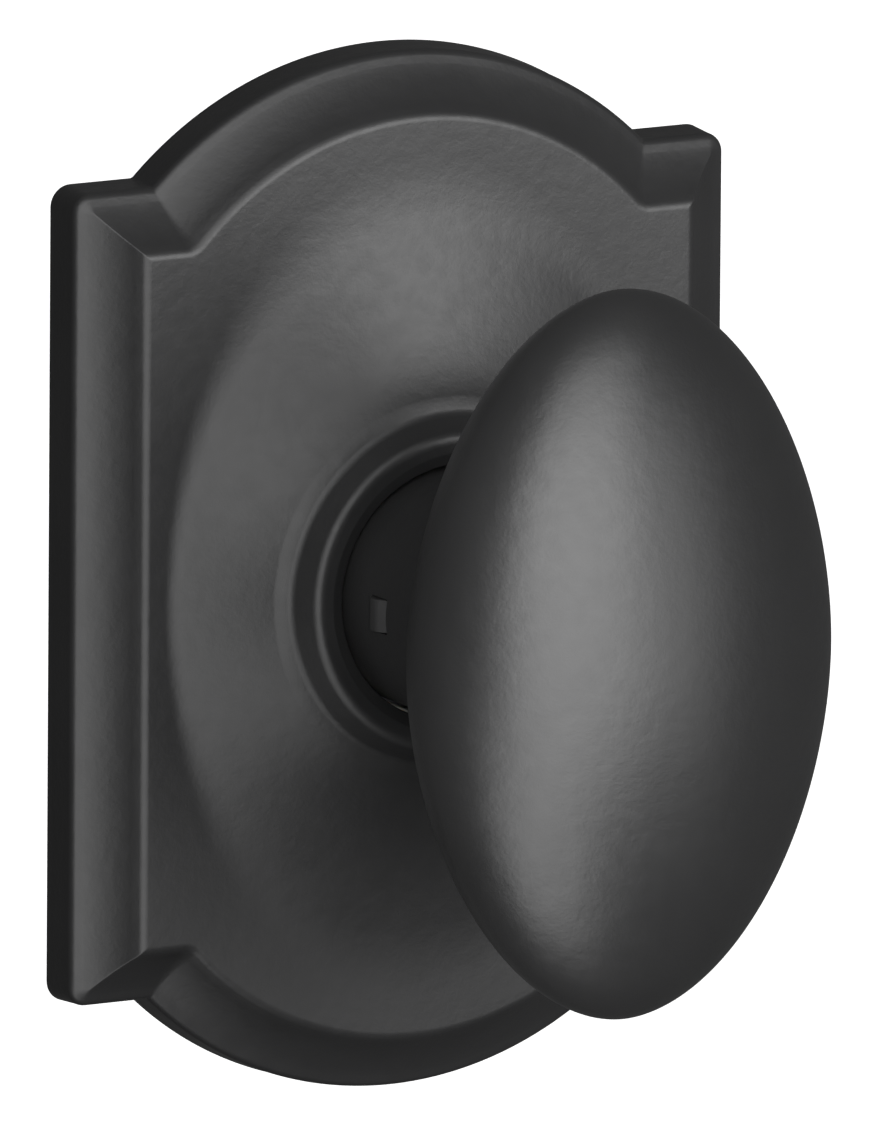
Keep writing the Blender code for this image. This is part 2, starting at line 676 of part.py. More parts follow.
def knob_ring(half_x, half_z, h, blend):
    """Plan ring, from a plain ellipse at blend = 0 to the knob's superellipse at 1."""
    ring = []
    power = 2.0 / KNOB_PLAN_EXP
    for i in range(KNOB_SEGMENTS):
        t = 2 * math.pi * i / KNOB_SEGMENTS
        x, z = [math.copysign(abs(c) ** power, c) * blend + c * (1 - blend)
                for c in (math.cos(t), math.sin(t))]
        ring.append((half_x * x, h, half_z * z))
    return ring


def body_ring(h, inset=0.0, shift=0.0):
    """Ring of the knob body at height h, moved inward by inset and along h by shift."""
    if h >= KNOB_RIM_H:
        u = (h - KNOB_RIM_H) / KNOB_FRONT_D
        k = (1 - u ** KNOB_FRONT_EXP) ** (1 / KNOB_FRONT_EXP)
        half_x, half_z, blend = KNOB_A * k, KNOB_C * k, 1.0
    else:
        u = (KNOB_RIM_H - h) / KNOB_BACK_D
        blend = math.sqrt(1 - u * u)
        half_x = KNOB_ROOT_R + (KNOB_A - KNOB_ROOT_R) * blend
        half_z = KNOB_ROOT_R + (KNOB_C - KNOB_ROOT_R) * blend
    return knob_ring(half_x - inset, half_z - inset, h + shift, blend)


def build_front_shell():
    """Domed face wrapped round the rim to the seam."""
    inner = [body_ring(*station) for station in FRONT_INNER]
    outer = [body_ring(h) for h in FRONT_OUTER_H]
    apex_h = KNOB_RIM_H + KNOB_FRONT_D
    shape = loft(inner[::-1] + outer, [(0, apex_h - KNOB_SKIN, 0), (0, apex_h, 0)])
    make_piece("knob_front_shell", shape, BLACK, roughness=0.4, smooth_angle=40)


def build_rear_shell():
    """Dished back with a lip that enters the front shell."""
    rings = [
        # outside, from the bore to the seam
        knob_ring(REAR_BORE_R, REAR_BORE_R, 39.45, 0.0),
        knob_ring(14.6, 15.4, 39.5, 0.2),
        *[body_ring(h) for h in (40.1, 41.3, 43.0, SEAM_H)],
        # lip
        body_ring(SEAM_H, 1.9, 0.1),
        body_ring(47.6, 1.85, 0.3),
        body_ring(47.6, 2.7, 0.3),
        body_ring(SEAM_H, 3.2, 0.4),
        # inside, back to the bore
        body_ring(43.0, 2.6, 1.1),
        body_ring(41.3, 2.2, 1.35),
        body_ring(40.1, 1.6, 1.45),
        knob_ring(14.2, 15.0, 40.95, 0.2),
        knob_ring(REAR_BORE_R, REAR_BORE_R, 40.9, 0.0),
    ]
    make_piece("knob_rear_shell", loft(rings, "loop"), BLACK, roughness=0.4, smooth_angle=40)


# ---------------------------------------------------------------- knob ring nut
NUT_BORE_R = SPIGOT_R + 0.3
NUT_PROFILE = [             # (radius, h)
    (NUT_BORE_R, 41.3), (13.6, 41.3), (14.0, 41.7),
    (14.0, 43.6), (13.6, 44.0), (NUT_BORE_R, 44.0),
]


def build_ring_nut():
    """Nut on the neck's spigot, inside the knob."""
    nut = make_piece("knob_ring_nut", lathe(NUT_PROFILE, 28), BRASS, roughness=0.35)
    slots = [box(x0, x1, 42.6, 45, -1.3, 1.3) for x0, x1 in ((-16, -12.2), (12.2, 16))]
    cut(nut, "nut_slots", merge(*slots))


# ---------------------------------------------------------------- moving bodies
TURNING = {
    "knob_front_shell", "knob_rear_shell", "knob_ring_nut", "knob_neck", "drive_sleeve",
    "thrust_washer", "retaining_ring", "spindle", "spindle_pin", "catch_spring",
}


def attach(ob, parent):
    """Parent ob without moving it."""
    ob.parent = parent
    ob.matrix_parent_inverse = parent.matrix_world.inverted()


def make_empty(name, x, h, parent=None):
    ob = bpy.data.objects.new(name, None)
    ob.empty_display_size = 0.01
    ob.location = (x * MM, (ORIGIN_H - h) * MM, 0)
    bpy.context.scene.collection.objects.link(ob)
    bpy.context.view_layer.update()
    if parent is not None:
        attach(ob, parent)
    return ob


def parent_pieces():
    rose_frame = make_empty("rose_frame", 0, 0)
    knob_axis = make_empty("knob_axis", 0, 0, rose_frame)
    catch_slide = make_empty("catch_slide", -NECK_R, CATCH_H, knob_axis)
    bpy.context.view_layer.update()
    for ob in list(bpy.data.objects):
        if ob.type != "MESH" or ob.hide_render:
            continue
        if ob.name == "knob_catch":
            attach(ob, catch_slide)
        else:
            attach(ob, knob_axis if ob.name in TURNING else rose_frame)


# ---------------------------------------------------------------- build
for old in list(bpy.data.objects):
    bpy.data.objects.remove(old, do_unlink=True)

build_rosette()
build_mounting_plate()
build_posts()
build_clips()
build_spring_cage()
build_cage_screws()
build_bushings_and_rings()
build_return_spring()
build_drive_sleeve()
build_spindle()
build_neck()
build_catch()
build_catch_spring()
build_front_shell()
build_rear_shell()
build_ring_nut()
parent_pieces()
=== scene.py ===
"""Looks of an oval door knob on its shaped rosette plate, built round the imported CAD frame.

Lengths are millimetres, turned into metres by place(). Seen from the room, +X is to the
right and +Z is up; h is the height above the door face, towards the room. The frame's
origin is the spindle's free end, 36 mm behind that face, so y = -36 - h: the room is at
-Y and the inside of the door at +Y.
"""
import bpy
import bmesh
import math
from mathutils import Matrix, Vector


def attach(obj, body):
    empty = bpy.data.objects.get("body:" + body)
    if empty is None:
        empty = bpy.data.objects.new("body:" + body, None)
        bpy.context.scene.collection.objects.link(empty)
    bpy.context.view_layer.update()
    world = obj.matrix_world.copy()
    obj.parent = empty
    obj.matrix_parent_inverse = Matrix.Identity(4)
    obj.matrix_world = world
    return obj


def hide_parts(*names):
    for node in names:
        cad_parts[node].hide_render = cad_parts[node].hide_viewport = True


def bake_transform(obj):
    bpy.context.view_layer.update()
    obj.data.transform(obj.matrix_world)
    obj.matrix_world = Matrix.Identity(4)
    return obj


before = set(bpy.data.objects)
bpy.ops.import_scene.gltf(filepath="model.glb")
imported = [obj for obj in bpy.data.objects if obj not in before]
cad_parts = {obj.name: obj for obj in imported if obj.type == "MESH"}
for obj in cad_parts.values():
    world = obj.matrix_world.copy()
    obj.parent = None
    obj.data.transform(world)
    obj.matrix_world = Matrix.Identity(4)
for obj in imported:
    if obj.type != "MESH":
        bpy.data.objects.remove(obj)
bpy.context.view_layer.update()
MM = 0.001
ORIGIN_H = -36.0
SIDES = (-1, 1)
scene = bpy.context.scene


# =============================================================== outlines
def place(x, h, z):
    return Vector((x * MM, (ORIGIN_H - h) * MM, z * MM))


def polar(radius, angle):
    return radius * math.cos(angle), radius * math.sin(angle)


def bezier(p0, p1, p2, p3, seg):
    out = []
    for i in range(seg + 1):
        t = i / seg
        a, b, c, d = (1 - t) ** 3, 3 * t * (1 - t) ** 2, 3 * t * t * (1 - t), t ** 3
        out.append((a * p0[0] + b * p1[0] + c * p2[0] + d * p3[0],
                    a * p0[1] + b * p1[1] + c * p2[1] + d * p3[1]))
    return out


def rounded(corners, seg=6, closed=False):
    """Polyline of (x, y, radius) corners; each corner with a radius becomes an arc."""
    out = []
    last = len(corners) - 1
    for i, corner in enumerate(corners):
        radius = corner[2] if len(corner) > 2 else 0.0
        if radius <= 0 or (not closed and i in (0, last)):
            out.append(corner[:2])
            continue
        here = Vector(corner[:2])
        back = Vector(corners[i - 1][:2]) - here
        ahead = Vector(corners[(i + 1) % len(corners)][:2]) - here
        back_len, ahead_len = back.length, ahead.length
        back.normalize()
        ahead.normalize()
        half_turn = (math.pi - math.acos(max(-1, min(1, back.dot(ahead))))) / 2
        # the arc takes at most about half of either side
        tangent = min(radius * math.tan(half_turn), back_len * 0.49, ahead_len * 0.49)
        radius = tangent / math.tan(half_turn)
        centre = here + (back + ahead).normalized() * (radius / math.cos(half_turn))
        first = here + back * tangent - centre
        final = here + ahead * tangent - centre
        angle = math.atan2(first.y, first.x)
        sweep = math.atan2(first.x * final.y - first.y * final.x, first.dot(final))
        for k in range(seg + 1):
            x, y = polar(radius, angle + sweep * k / seg)
            out.append((centre.x + x, centre.y + y))
    return out


def rounded_rect(half_x, half_z, radius, seg):
    out = []
    for sx, sz, start in ((1, 1, 0), (-1, 1, 90), (-1, -1, 180), (1, -1, 270)):
        for i in range(seg + 1):
            x, z = polar(radius, math.radians(start + 90 * i / seg))
            out.append((sx * (half_x - radius) + x, sz * (half_z - radius) + z))
    return out


def smooth_path(points, rounds):
    """Chaikin rounding of a 2D path, end points kept."""
    for _ in range(rounds):
        out = [points[0]]
        for a, b in zip(points[:-1], points[1:]):
            out.append(tuple(a[i] * 0.75 + b[i] * 0.25 for i in range(2)))
            out.append(tuple(a[i] * 0.25 + b[i] * 0.75 for i in range(2)))
        out.append(points[-1])
        points = out
    return points


# =============================================================== solids: (verts, faces) pairs
def loft(rings, cyclic=False, start=None, end=None):
    """Skin over equal rings. start and end close it: "flat", or a point to fan to."""
    count, total = len(rings[0]), len(rings)
    verts = [point for ring in rings for point in ring]
    faces = []
    for k in range(total if cyclic else total - 1):
        near, far = k * count, ((k + 1) % total) * count
        for i in range(count):
            j = (i + 1) % count
            faces.append((near + i, near + j, far + j, far + i))
    for base, cap in ((0, start), ((total - 1) * count, end)):
        if cap is None:
            continue
        if cap == "flat":
            faces.append(tuple(base + i for i in range(count)))
        else:
            tip = len(verts)
            verts.append(cap)
            faces += [(base + i, base + (i + 1) % count, tip) for i in range(count)]
    return verts, faces


def lathe(profile, count=96, x=0, h=0, z=0, axis="h"):
    """Turn a (radius, distance along the axis) profile about the h or z direction.
    A profile that touches the axis is open and ends in poles, any other is a closed loop."""
    def spot(radius, along, angle):
        across, rise = polar(radius, angle)
        if axis == "h":
            return place(x + across, h + along, z + rise)
        return place(x + across, h + rise, z + along)

    angles = [2 * math.pi * i / count for i in range(count)]
    closed = all(radius > 1e-6 for radius, along in profile)
    rings = [[spot(radius, along, angle) for angle in angles]
             for radius, along in (profile if closed else profile[1:-1])]
    if closed:
        return loft(rings, cyclic=True)
    return loft(rings, start=spot(0, profile[0][1], 0), end=spot(0, profile[-1][1], 0))


def prism(outline, h0, h1):
    return loft([[place(x, h, z) for x, z in outline] for h in (h0, h1)],
                start="flat", end="flat")


def box(x0, x1, h0, h1, z0, z1):
    return prism([(x0, z0), (x1, z0), (x1, z1), (x0, z1)], h0, h1)


def cylinder(radius, start, end, count, **where):
    return lathe([(0, start), (radius, start), (radius, end), (0, end)], count, **where)


def sector(r0, r1, a0, a1, h0, h1, seg):
    """Flat ring sector between two angles in degrees."""
    angles = [math.radians(a0 + (a1 - a0) * i / seg) for i in range(seg + 1)]
    outline = [polar(r1, angle) for angle in angles]
    outline += [polar(r0, angle) for angle in reversed(angles)]
    return prism(outline, h0, h1)


def tube(points, radius, count):
    """Round wire through (x, h, z) points with softened ends."""
    spine = [place(*point) for point in points]
    last = len(spine) - 1
    rings, up = [], Vector((0, 1, 0))
    for k, middle in enumerate(spine):
        if k == 0:
            ahead = spine[1] - spine[0]
        elif k == last:
            ahead = spine[-1] - spine[-2]
        else:
            ahead = (spine[k + 1] - middle).normalized() + (middle - spine[k - 1]).normalized()
        ahead = ahead.normalized()
        up = (up - ahead * up.dot(ahead)).normalized()
        side = ahead.cross(up)

        def ring(centre, size):
            return [centre + (up * math.cos(t) + side * math.sin(t)) * size * MM
                    for t in [2 * math.pi * i / count for i in range(count)]]

        if k == 0:
            rings.append(ring(middle, radius * 0.72))
            rings.append(ring(middle + ahead * radius * 0.3 * MM, radius))
        elif k == last:
            rings.append(ring(middle - ahead * radius * 0.3 * MM, radius))
            rings.append(ring(middle, radius * 0.72))
        else:
            rings.append(ring(middle, radius))
    return loft(rings, start="flat", end="flat")


# =============================================================== objects
def shade(mesh, sharp):
    mesh.shade_smooth()
    if sharp:
        mesh.set_sharp_from_angle(angle=math.radians(sharp))


def build(name, solid, mat, sharp=35.0):
    """Object from a solid; edges over `sharp` degrees stay hard."""
    mesh = bpy.data.meshes.new(name)
    edit = bmesh.new()
    verts = [edit.verts.new(point) for point in solid[0]]
    for face in solid[1]:
        edit.faces.new([verts[i] for i in face])
    bmesh.ops.recalc_face_normals(edit, faces=edit.faces)
    edit.to_mesh(mesh)
    edit.free()
    shade(mesh, sharp)
    obj = bpy.data.objects.new(name, mesh)
    scene.collection.objects.link(obj)
    mesh.materials.append(mat)
    return obj


def register(obj, body, replaced):
    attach(obj, body)
    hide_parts(replaced)


def make(name, solid, mat, body, replaced, sharp=35.0):
    register(build(name, solid, mat, sharp), body, replaced)


def apply_modifiers(obj):
    bpy.context.view_layer.update()
    graph = bpy.context.evaluated_depsgraph_get()
    mesh = bpy.data.meshes.new_from_object(obj.evaluated_get(graph))
    obj.modifiers.clear()
    old = obj.data
    obj.data = mesh
    bpy.data.meshes.remove(old)


def combine(obj, operation, *solids):
    """One boolean with all the solids together, applied at once."""
    verts, faces = [], []
    for part_verts, part_faces in solids:
        base = len(verts)
        verts += part_verts
        faces += [tuple(i + base for i in face) for face in part_faces]
    tool = build("tool", (verts, faces), obj.data.materials[0], sharp=None)
    boolean = obj.modifiers.new("boolean", "BOOLEAN")
    boolean.operation = operation
    boolean.solver = "EXACT"
    boolean.object = tool
    apply_modifiers(obj)
    bpy.data.objects.remove(tool, do_unlink=True)


def cut(obj, *solids):
    combine(obj, "DIFFERENCE", *solids)


def join(obj, *solids):
    combine(obj, "UNION", *solids)


def bevel(obj, width, seg=3, angle=32.0):
    """Small rounded edges, so that every edge catches light."""
    edges = obj.modifiers.new("bevel", "BEVEL")
    edges.width = width * MM
    edges.segments = seg
    edges.limit_method = "ANGLE"
    edges.angle_limit = math.radians(angle)
    edges.harden_normals = False
    edges.use_clamp_overlap = True
    apply_modifiers(obj)
    shade(obj.data, 35.0)
    # large flat faces keep their own direction, only the small bevel faces blend
    normals = obj.modifiers.new("normals", "WEIGHTED_NORMAL")
    normals.mode = "FACE_AREA"
    normals.weight = 60
    normals.keep_sharp = True
    apply_modifiers(obj)


# =============================================================== materials
class Shader:
    """A Principled material and the node patterns shared by all of them."""

    def __init__(self, name):
        self.mat = bpy.data.materials.new(name)
        self.mat.use_nodes = True
        self.tree = self.mat.node_tree
        self.bsdf = self.tree.nodes["Principled BSDF"]
        self.coords = self.add("ShaderNodeTexCoord").outputs["Object"]

    def add(self, kind, **settings):
        node = self.tree.nodes.new(kind)
        for key, value in settings.items():
            setattr(node, key, value)
        return node

    def link(self, source, target):
        self.tree.links.new(source, target)

    def set(self, name, value):
        self.bsdf.inputs[name].default_value = value

    def feed(self, name, source):
        self.link(source, self.bsdf.inputs[name])

    def stretched(self, scale):
        node = self.add("ShaderNodeMapping")
        node.inputs["Scale"].default_value = scale
        self.link(self.coords, node.inputs["Vector"])
        return node.outputs["Vector"]

    def noise(self, scale, detail=3.0, rough=0.55, vector=None, distortion=0.0):
        node = self.add("ShaderNodeTexNoise")
        node.inputs["Scale"].default_value = scale
        node.inputs["Detail"].default_value = detail
        node.inputs["Roughness"].default_value = rough
        node.inputs["Distortion"].default_value = distortion
        self.link(vector or self.coords, node.inputs["Vector"])
        return node.outputs["Fac"]

    def spread(self, source, low, high):
        """Map the noise's middle range, 0.3 to 0.7, to low..high."""
        node = self.add("ShaderNodeMapRange")
        node.inputs["From Min"].default_value = 0.3
        node.inputs["From Max"].default_value = 0.7
        node.inputs["To Min"].default_value = low
        node.inputs["To Max"].default_value = high
        self.link(source, node.inputs["Value"])
        return node.outputs["Result"]

    def drift(self, source, colour, tint):
        """Base colour that wanders between two colours with the noise."""
        factor = self.spread(source, 0, 1)
        node = self.add("ShaderNodeMix", data_type="RGBA")
        node.inputs["A"].default_value = (*colour, 1)
        node.inputs["B"].default_value = (*tint, 1)
        self.link(factor, node.inputs["Factor"])
        self.feed("Base Color", node.outputs["Result"])

    def bump(self, height, strength, distance, after=None):
        """Bump node; distance is in metres."""
        node = self.add("ShaderNodeBump")
        node.inputs["Strength"].default_value = strength
        node.inputs["Distance"].default_value = distance
        self.link(height, node.inputs["Height"])
        if after is not None:
            self.link(after, node.inputs["Normal"])
        return node.outputs["Normal"]


def satin_black(name, base=0.0180, rough=0.39, specular=0.36):
    """Fine powder coat: soft orange peel, faint speckle, even satin sheen."""
    sh = Shader(name)
    cloud = sh.noise(scale=90.0, detail=2.0)
    speckle = sh.noise(scale=2600.0, detail=3.0, rough=0.6)
    peel = sh.noise(scale=620.0, detail=2.0, rough=0.5)
    sh.drift(cloud, colour=(base * 0.93, base * 0.93, base * 0.95),
             tint=(base * 1.08, base * 1.08, base * 1.1))
    sh.feed("Roughness", sh.spread(peel, low=rough - 0.02, high=rough + 0.025))
    sh.set("IOR", 1.5)
    sh.set("Specular IOR Level", specular)
    normal = sh.bump(peel, strength=0.10, distance=0.00035)
    sh.feed("Normal", sh.bump(speckle, strength=0.16, distance=0.00010, after=normal))
    return sh.mat


def plated(name, rough, colour=(0.62, 0.63, 0.66), tint=(0.58, 0.60, 0.66), lines=None,
           grain=0.10):
    """Bright plate: slight colour drift and fine grain. `lines` scales the coordinates
    of a second noise; a small value draws it out into lines along that axis."""
    sh = Shader(name)
    sh.drift(sh.noise(scale=140.0, detail=3.0, distortion=0.6), colour, tint)
    sh.set("Metallic", 1.0)
    wear = sh.noise(scale=420.0, detail=4.0, rough=0.65)
    sh.feed("Roughness", sh.spread(wear, low=rough - 0.05, high=rough + 0.09))
    fine = sh.noise(scale=1500.0, detail=3.0, rough=0.6)
    normal = sh.bump(fine, strength=grain, distance=0.0001)
    if lines:
        drawn = sh.noise(scale=800.0, detail=2.0, rough=0.5, vector=sh.stretched(lines))
        normal = sh.bump(drawn, strength=0.18, distance=0.00012, after=normal)
    sh.feed("Normal", normal)
    return sh.mat


def turned(name, colour, tint, rough):
    """Lathe-turned metal: concentric tool marks round the knob's axis."""
    sh = Shader(name)
    split = sh.add("ShaderNodeSeparateXYZ")
    sh.link(sh.coords, split.inputs[0])
    across = sh.add("ShaderNodeCombineXYZ")
    sh.link(split.outputs["X"], across.inputs["X"])
    sh.link(split.outputs["Z"], across.inputs["Y"])
    radius = sh.add("ShaderNodeVectorMath", operation="LENGTH")
    sh.link(across.outputs[0], radius.inputs[0])
    polar_coords = sh.add("ShaderNodeCombineXYZ")
    sh.link(radius.outputs["Value"], polar_coords.inputs["X"])
    sh.link(split.outputs["Y"], polar_coords.inputs["Y"])
    marks = sh.noise(scale=5200.0, detail=2.0, rough=0.5, vector=polar_coords.outputs[0])
    sh.drift(sh.noise(scale=160.0, detail=3.0), colour, tint)
    sh.set("Metallic", 1.0)
    sh.feed("Roughness", sh.spread(marks, low=rough - 0.04, high=rough + 0.10))
    sh.feed("Normal", sh.bump(marks, strength=0.22, distance=0.00010))
    return sh.mat


def cast_zinc(name):
    sh = Shader(name)
    sh.drift(sh.noise(scale=260.0, detail=4.0), colour=(0.40, 0.41, 0.43),
             tint=(0.52, 0.53, 0.55))
    sh.set("Metallic", 1.0)
    sh.feed("Roughness", sh.spread(sh.noise(scale=520.0, detail=4.0), low=0.40, high=0.56))
    skin = sh.noise(scale=900.0, detail=5.0, rough=0.7)
    normal = sh.bump(skin, strength=0.30, distance=0.00018)
    fine = sh.noise(scale=2600.0, detail=2.0)
    sh.feed("Normal", sh.bump(fine, strength=0.18, distance=0.00008, after=normal))
    return sh.mat


def nylon(name):
    sh = Shader(name)
    sh.drift(sh.noise(scale=180.0, detail=2.0), colour=(0.80, 0.79, 0.73),
             tint=(0.74, 0.73, 0.67))
    sh.feed("Roughness", sh.spread(sh.noise(scale=700.0, detail=3.0), low=0.38, high=0.52))
    sh.set("Subsurface Weight", 0.25)
    sh.set("Subsurface Radius", (0.0012, 0.0010, 0.0008))
    fine = sh.noise(scale=1300.0, detail=2.0)
    sh.feed("Normal", sh.bump(fine, strength=0.08, distance=0.0001))
    return sh.mat


BLACK = satin_black("satin_black_coat")
# same coat as the plate, given a lighter base colour and stronger specular: painted light,
# standing in for stronger light on the knob
KNOB_BLACK_PAINTED_LIGHT = satin_black("satin_black_knob_painted_light", base=0.028, rough=0.36, specular=0.82)
# same coat again, with a lighter base colour than the plate's: painted light, standing in for
# more light on the neck
NECK_BLACK_PAINTED_LIGHT = satin_black("satin_black_neck_painted_light", base=0.029, rough=0.44, specular=0.85)
# the neck's satin black coat with a lighter base colour: painted light for the lighter face of
# the catch
CATCH_BLACK_PAINTED_LIGHT = satin_black("satin_black_catch_painted_light", base=0.034, rough=0.42, specular=0.9)
ZINC = plated("zinc_plate", rough=0.30)
ZINC_BAR = plated("zinc_drawn_bar", rough=0.32, lines=(1.0, 0.03, 1.0))
CAST = cast_zinc("die_cast_zinc")
BRASS = turned("turned_brass", colour=(0.62, 0.46, 0.20), tint=(0.54, 0.40, 0.17), rough=0.26)
SPRING = plated("spring_wire", rough=0.24, colour=(0.46, 0.46, 0.48), tint=(0.38, 0.38, 0.41),
                grain=0.06)
LEAF = plated("spring_leaf", rough=0.26, colour=(0.50, 0.50, 0.52), tint=(0.42, 0.42, 0.45),
              lines=(1.0, 1.0, 0.05))
NYLON = nylon("natural_nylon")

# =============================================================== rosette
# outline: straight sides, flat shoulders, an arch at the top and at the bottom
ROSE_HALF_X, SHOULDER_Z, APEX_Z = 36.4, 40.73, 52.0
SHOULDER_W, SHOULDER_R = 8.96, 2.15
ARCH_HALF_X, ARCH_RISE = ROSE_HALF_X - SHOULDER_W, APEX_Z - SHOULDER_Z
ARCH_R = (ARCH_HALF_X ** 2 + ARCH_RISE ** 2) / (2 * ARCH_RISE)
ARCH_Z = APEX_Z - ARCH_R
SIDE_SEG, CORNER_SEG, SHOULDER_SEG, FILLET_SEG, ARCH_SEG = 36, 10, 8, 12, 44

FIELD_H = 8.95                                  # flat field round the dome
DOME_X, DOME_Z, DOME_TOP_R = 28.35, 42.0, 18.9  # half axes at the foot, radius at the top
DOME_FOOT_H, DOME_TOP_H = FIELD_H + 0.02, 14.5
DOME_STEPS = 40
BORE_R, COLLAR_H = 12.75, 16.8

# profiles of (inward offset, h, corner radius)
ROSE_SIDE = [(0.0, 0.0), (0.25, 4.52, 1.1), (1.4, 5.02)]
ROSE_COVE = [(1.4, 5.02), (2.4, 5.53), (4.05, 6.70), (5.25, 8.12)]  # bezier points
ROSE_LIP = [(5.25, 8.12), (6.05, FIELD_H, 1.9), (7.4, FIELD_H)]
ROSE_BACK = [(7.9, 7.0), (6.3, 5.5), (4.3, 4.0), (2.4, 2.8), (1.9, 1.4)]
# (radius, h, corner radius)
COLLAR = [(DOME_TOP_R, DOME_TOP_H), (17.45, 15.08, 1.7), (15.65, 17.45, 2.7),
          (14.0, 17.3, 0.9), (BORE_R, COLLAR_H, 0.3), (BORE_R, 15.0)]
COLLAR_BACK = [(14.2, 15.0), (14.2, 11.3), (17.8, 11.0)]


def rose_loop(offset, h):
    """Outline of the rosette moved inward by a constant distance. The mouldings meet in
    mitres; the re-entrant corner between shoulder and arch softens on its way in."""
    half_x, shoulder, arch = ROSE_HALF_X - offset, SHOULDER_Z - offset, ARCH_R - offset
    corner = max(SHOULDER_R - offset, 0.12)
    fillet = 0.55 + 1.9 * max(0.0, (offset - 1.2) / 5.0) ** 1.4
    fillet_z = shoulder + fillet
    fillet_x = math.sqrt((arch + fillet) ** 2 - (fillet_z - ARCH_Z) ** 2)
    corner_x = half_x - corner
    quarter = []
    for i in range(SIDE_SEG):
        t = i / SIDE_SEG
        quarter.append((half_x, (shoulder - corner) * (1 - (1 - t) ** 1.6)))
    for i in range(CORNER_SEG + 1):
        x, z = polar(corner, math.pi / 2 * i / CORNER_SEG)
        quarter.append((corner_x + x, shoulder - corner + z))
    for i in range(1, SHOULDER_SEG):
        quarter.append((corner_x + (fillet_x - corner_x) * i / SHOULDER_SEG, shoulder))
    # the fillet ends where it points to the arch's centre
    start, end = -math.pi / 2, math.atan2(ARCH_Z - fillet_z, -fillet_x)
    for i in range(FILLET_SEG + 1):
        x, z = polar(fillet, start + (end - start) * i / FILLET_SEG)
        quarter.append((fillet_x + x, fillet_z + z))
    arch_angle = math.atan2(fillet_x, fillet_z - ARCH_Z)
    for i in range(1, ARCH_SEG):
        t = arch_angle * (1 - i / ARCH_SEG)
        quarter.append((arch * math.sin(t), ARCH_Z + arch * math.cos(t)))
    top = ARCH_Z + arch
    inside = quarter[1:]
    full = quarter + [(0.0, top)] + [(-x, z) for x, z in reversed(inside)] + [(-half_x, 0.0)]
    full += [(-x, -z) for x, z in inside] + [(0.0, -top)] + [(x, -z) for x, z in reversed(inside)]
    return [place(x, h, z) for x, z in full]


# angles of the oval rings, matched to the points of the outline at the lip
MATCH_OFFSET = 6.7
OVAL_ANGLES = [math.atan2(p.z / ((APEX_Z - MATCH_OFFSET) * MM),
                          p.x / ((ROSE_HALF_X - MATCH_OFFSET) * MM))
               for p in rose_loop(MATCH_OFFSET, FIELD_H)]


def oval(half_x, half_z, h):
    return [place(half_x * math.cos(t), h, half_z * math.sin(t)) for t in OVAL_ANGLES]


def dome_h(s):
    """Low oval dome: a soft concave start on the field, then a flank that steepens
    slightly towards the collar. s runs from 0 at the foot to 1 at the collar."""
    start, steepen = 0.22, 1.35     # share of the concave start, final to first slope
    slope = 1.0 / (start / 2 + (1 + steepen) / 2 * (1 - start))
    if s < start:
        rise = slope * s * s / (2 * start)
    else:
        u = (s - start) / (1 - start)
        flank = u - (1 - steepen) * u * u / 2
        rise = slope * start / 2 + slope * (1 - start) * flank
    return DOME_FOOT_H + (DOME_TOP_H - DOME_FOOT_H) * rise


def rosette():
    side = rounded(ROSE_SIDE, 12)[1:]
    cove = bezier(*ROSE_COVE, 26)[1:]
    lip = rounded(ROSE_LIP, 12)[1:-1]
    rings = [rose_loop(1.9, 0.0), rose_loop(0.12, 0.0), rose_loop(0.0, 0.14)]
    rings += [rose_loop(0.26 * h / 4.3, h) for h in (1.0, 2.0, 2.9)]
    rings += [rose_loop(offset, h) for offset, h in side + cove + lip]
    rings.append(rose_loop(7.45, FIELD_H))
    rings.append(oval(DOME_X + 0.15, DOME_Z + 0.15, DOME_FOOT_H))
    for i in range(DOME_STEPS + 1):
        s = i / DOME_STEPS
        half_x = DOME_X + (DOME_TOP_R - DOME_X) * s
        half_z = DOME_Z + (DOME_TOP_R - DOME_Z) * (1.52 * s - 0.52 * s * s)
        rings.append(oval(half_x, half_z, dome_h(s)))
    rings += [oval(r, r, h) for r, h in rounded(COLLAR, 14)[1:] + COLLAR_BACK]
    # hollow back, from the collar out to the rim
    for s in (0.8, 0.5, 0.2):
        rings.append(oval(DOME_X - 0.6 + (DOME_TOP_R - DOME_X) * s,
                          DOME_Z - 0.8 + (DOME_TOP_R - DOME_Z) * s, dome_h(s) - 1.6))
    rings.append(oval(27.2, 40.0, 7.2))
    rings += [rose_loop(offset, h) for offset, h in ROSE_BACK]
    make("rosette_plate", loft(rings, cyclic=True), BLACK, "rose", "rosette", sharp=48)


# =============================================================== knob
KNOB_X, KNOB_Z = 22.3, 36.15                    # half axes at the rim
RIM_H, FRONT_DEPTH, BACK_DEPTH = 50.5, 13.5, 11.0
FRONT_POWER, BACK_POWER, PLAN_POWER = 1.8, 2.0, 1.89   # superellipse powers
SEAM_H = 45.2
FOOT_R, OPENING_R = 12.6, 10.45                 # back: where the curve ends, and its hole
KNOB_COUNT, SEAM_STEPS, FRONT_STEPS = 224, 14, 64


def signed_power(value, power):
    return math.copysign(abs(value) ** power, value)


KNOB_PLAN = []                                  # superellipse x, z and circle x, z
for i in range(KNOB_COUNT):
    x, z = polar(1.0, 2 * math.pi * i / KNOB_COUNT)
    KNOB_PLAN.append((signed_power(x, 2.0 / PLAN_POWER), signed_power(z, 2.0 / PLAN_POWER), x, z))


def knob_ring(half_x, half_z, h, blend):
    """Ring between a plain ellipse (blend 0) and the knob's superellipse (blend 1)."""
    return [place(half_x * (px * blend + cx * (1 - blend)), h,
                  half_z * (pz * blend + cz * (1 - blend))) for px, pz, cx, cz in KNOB_PLAN]


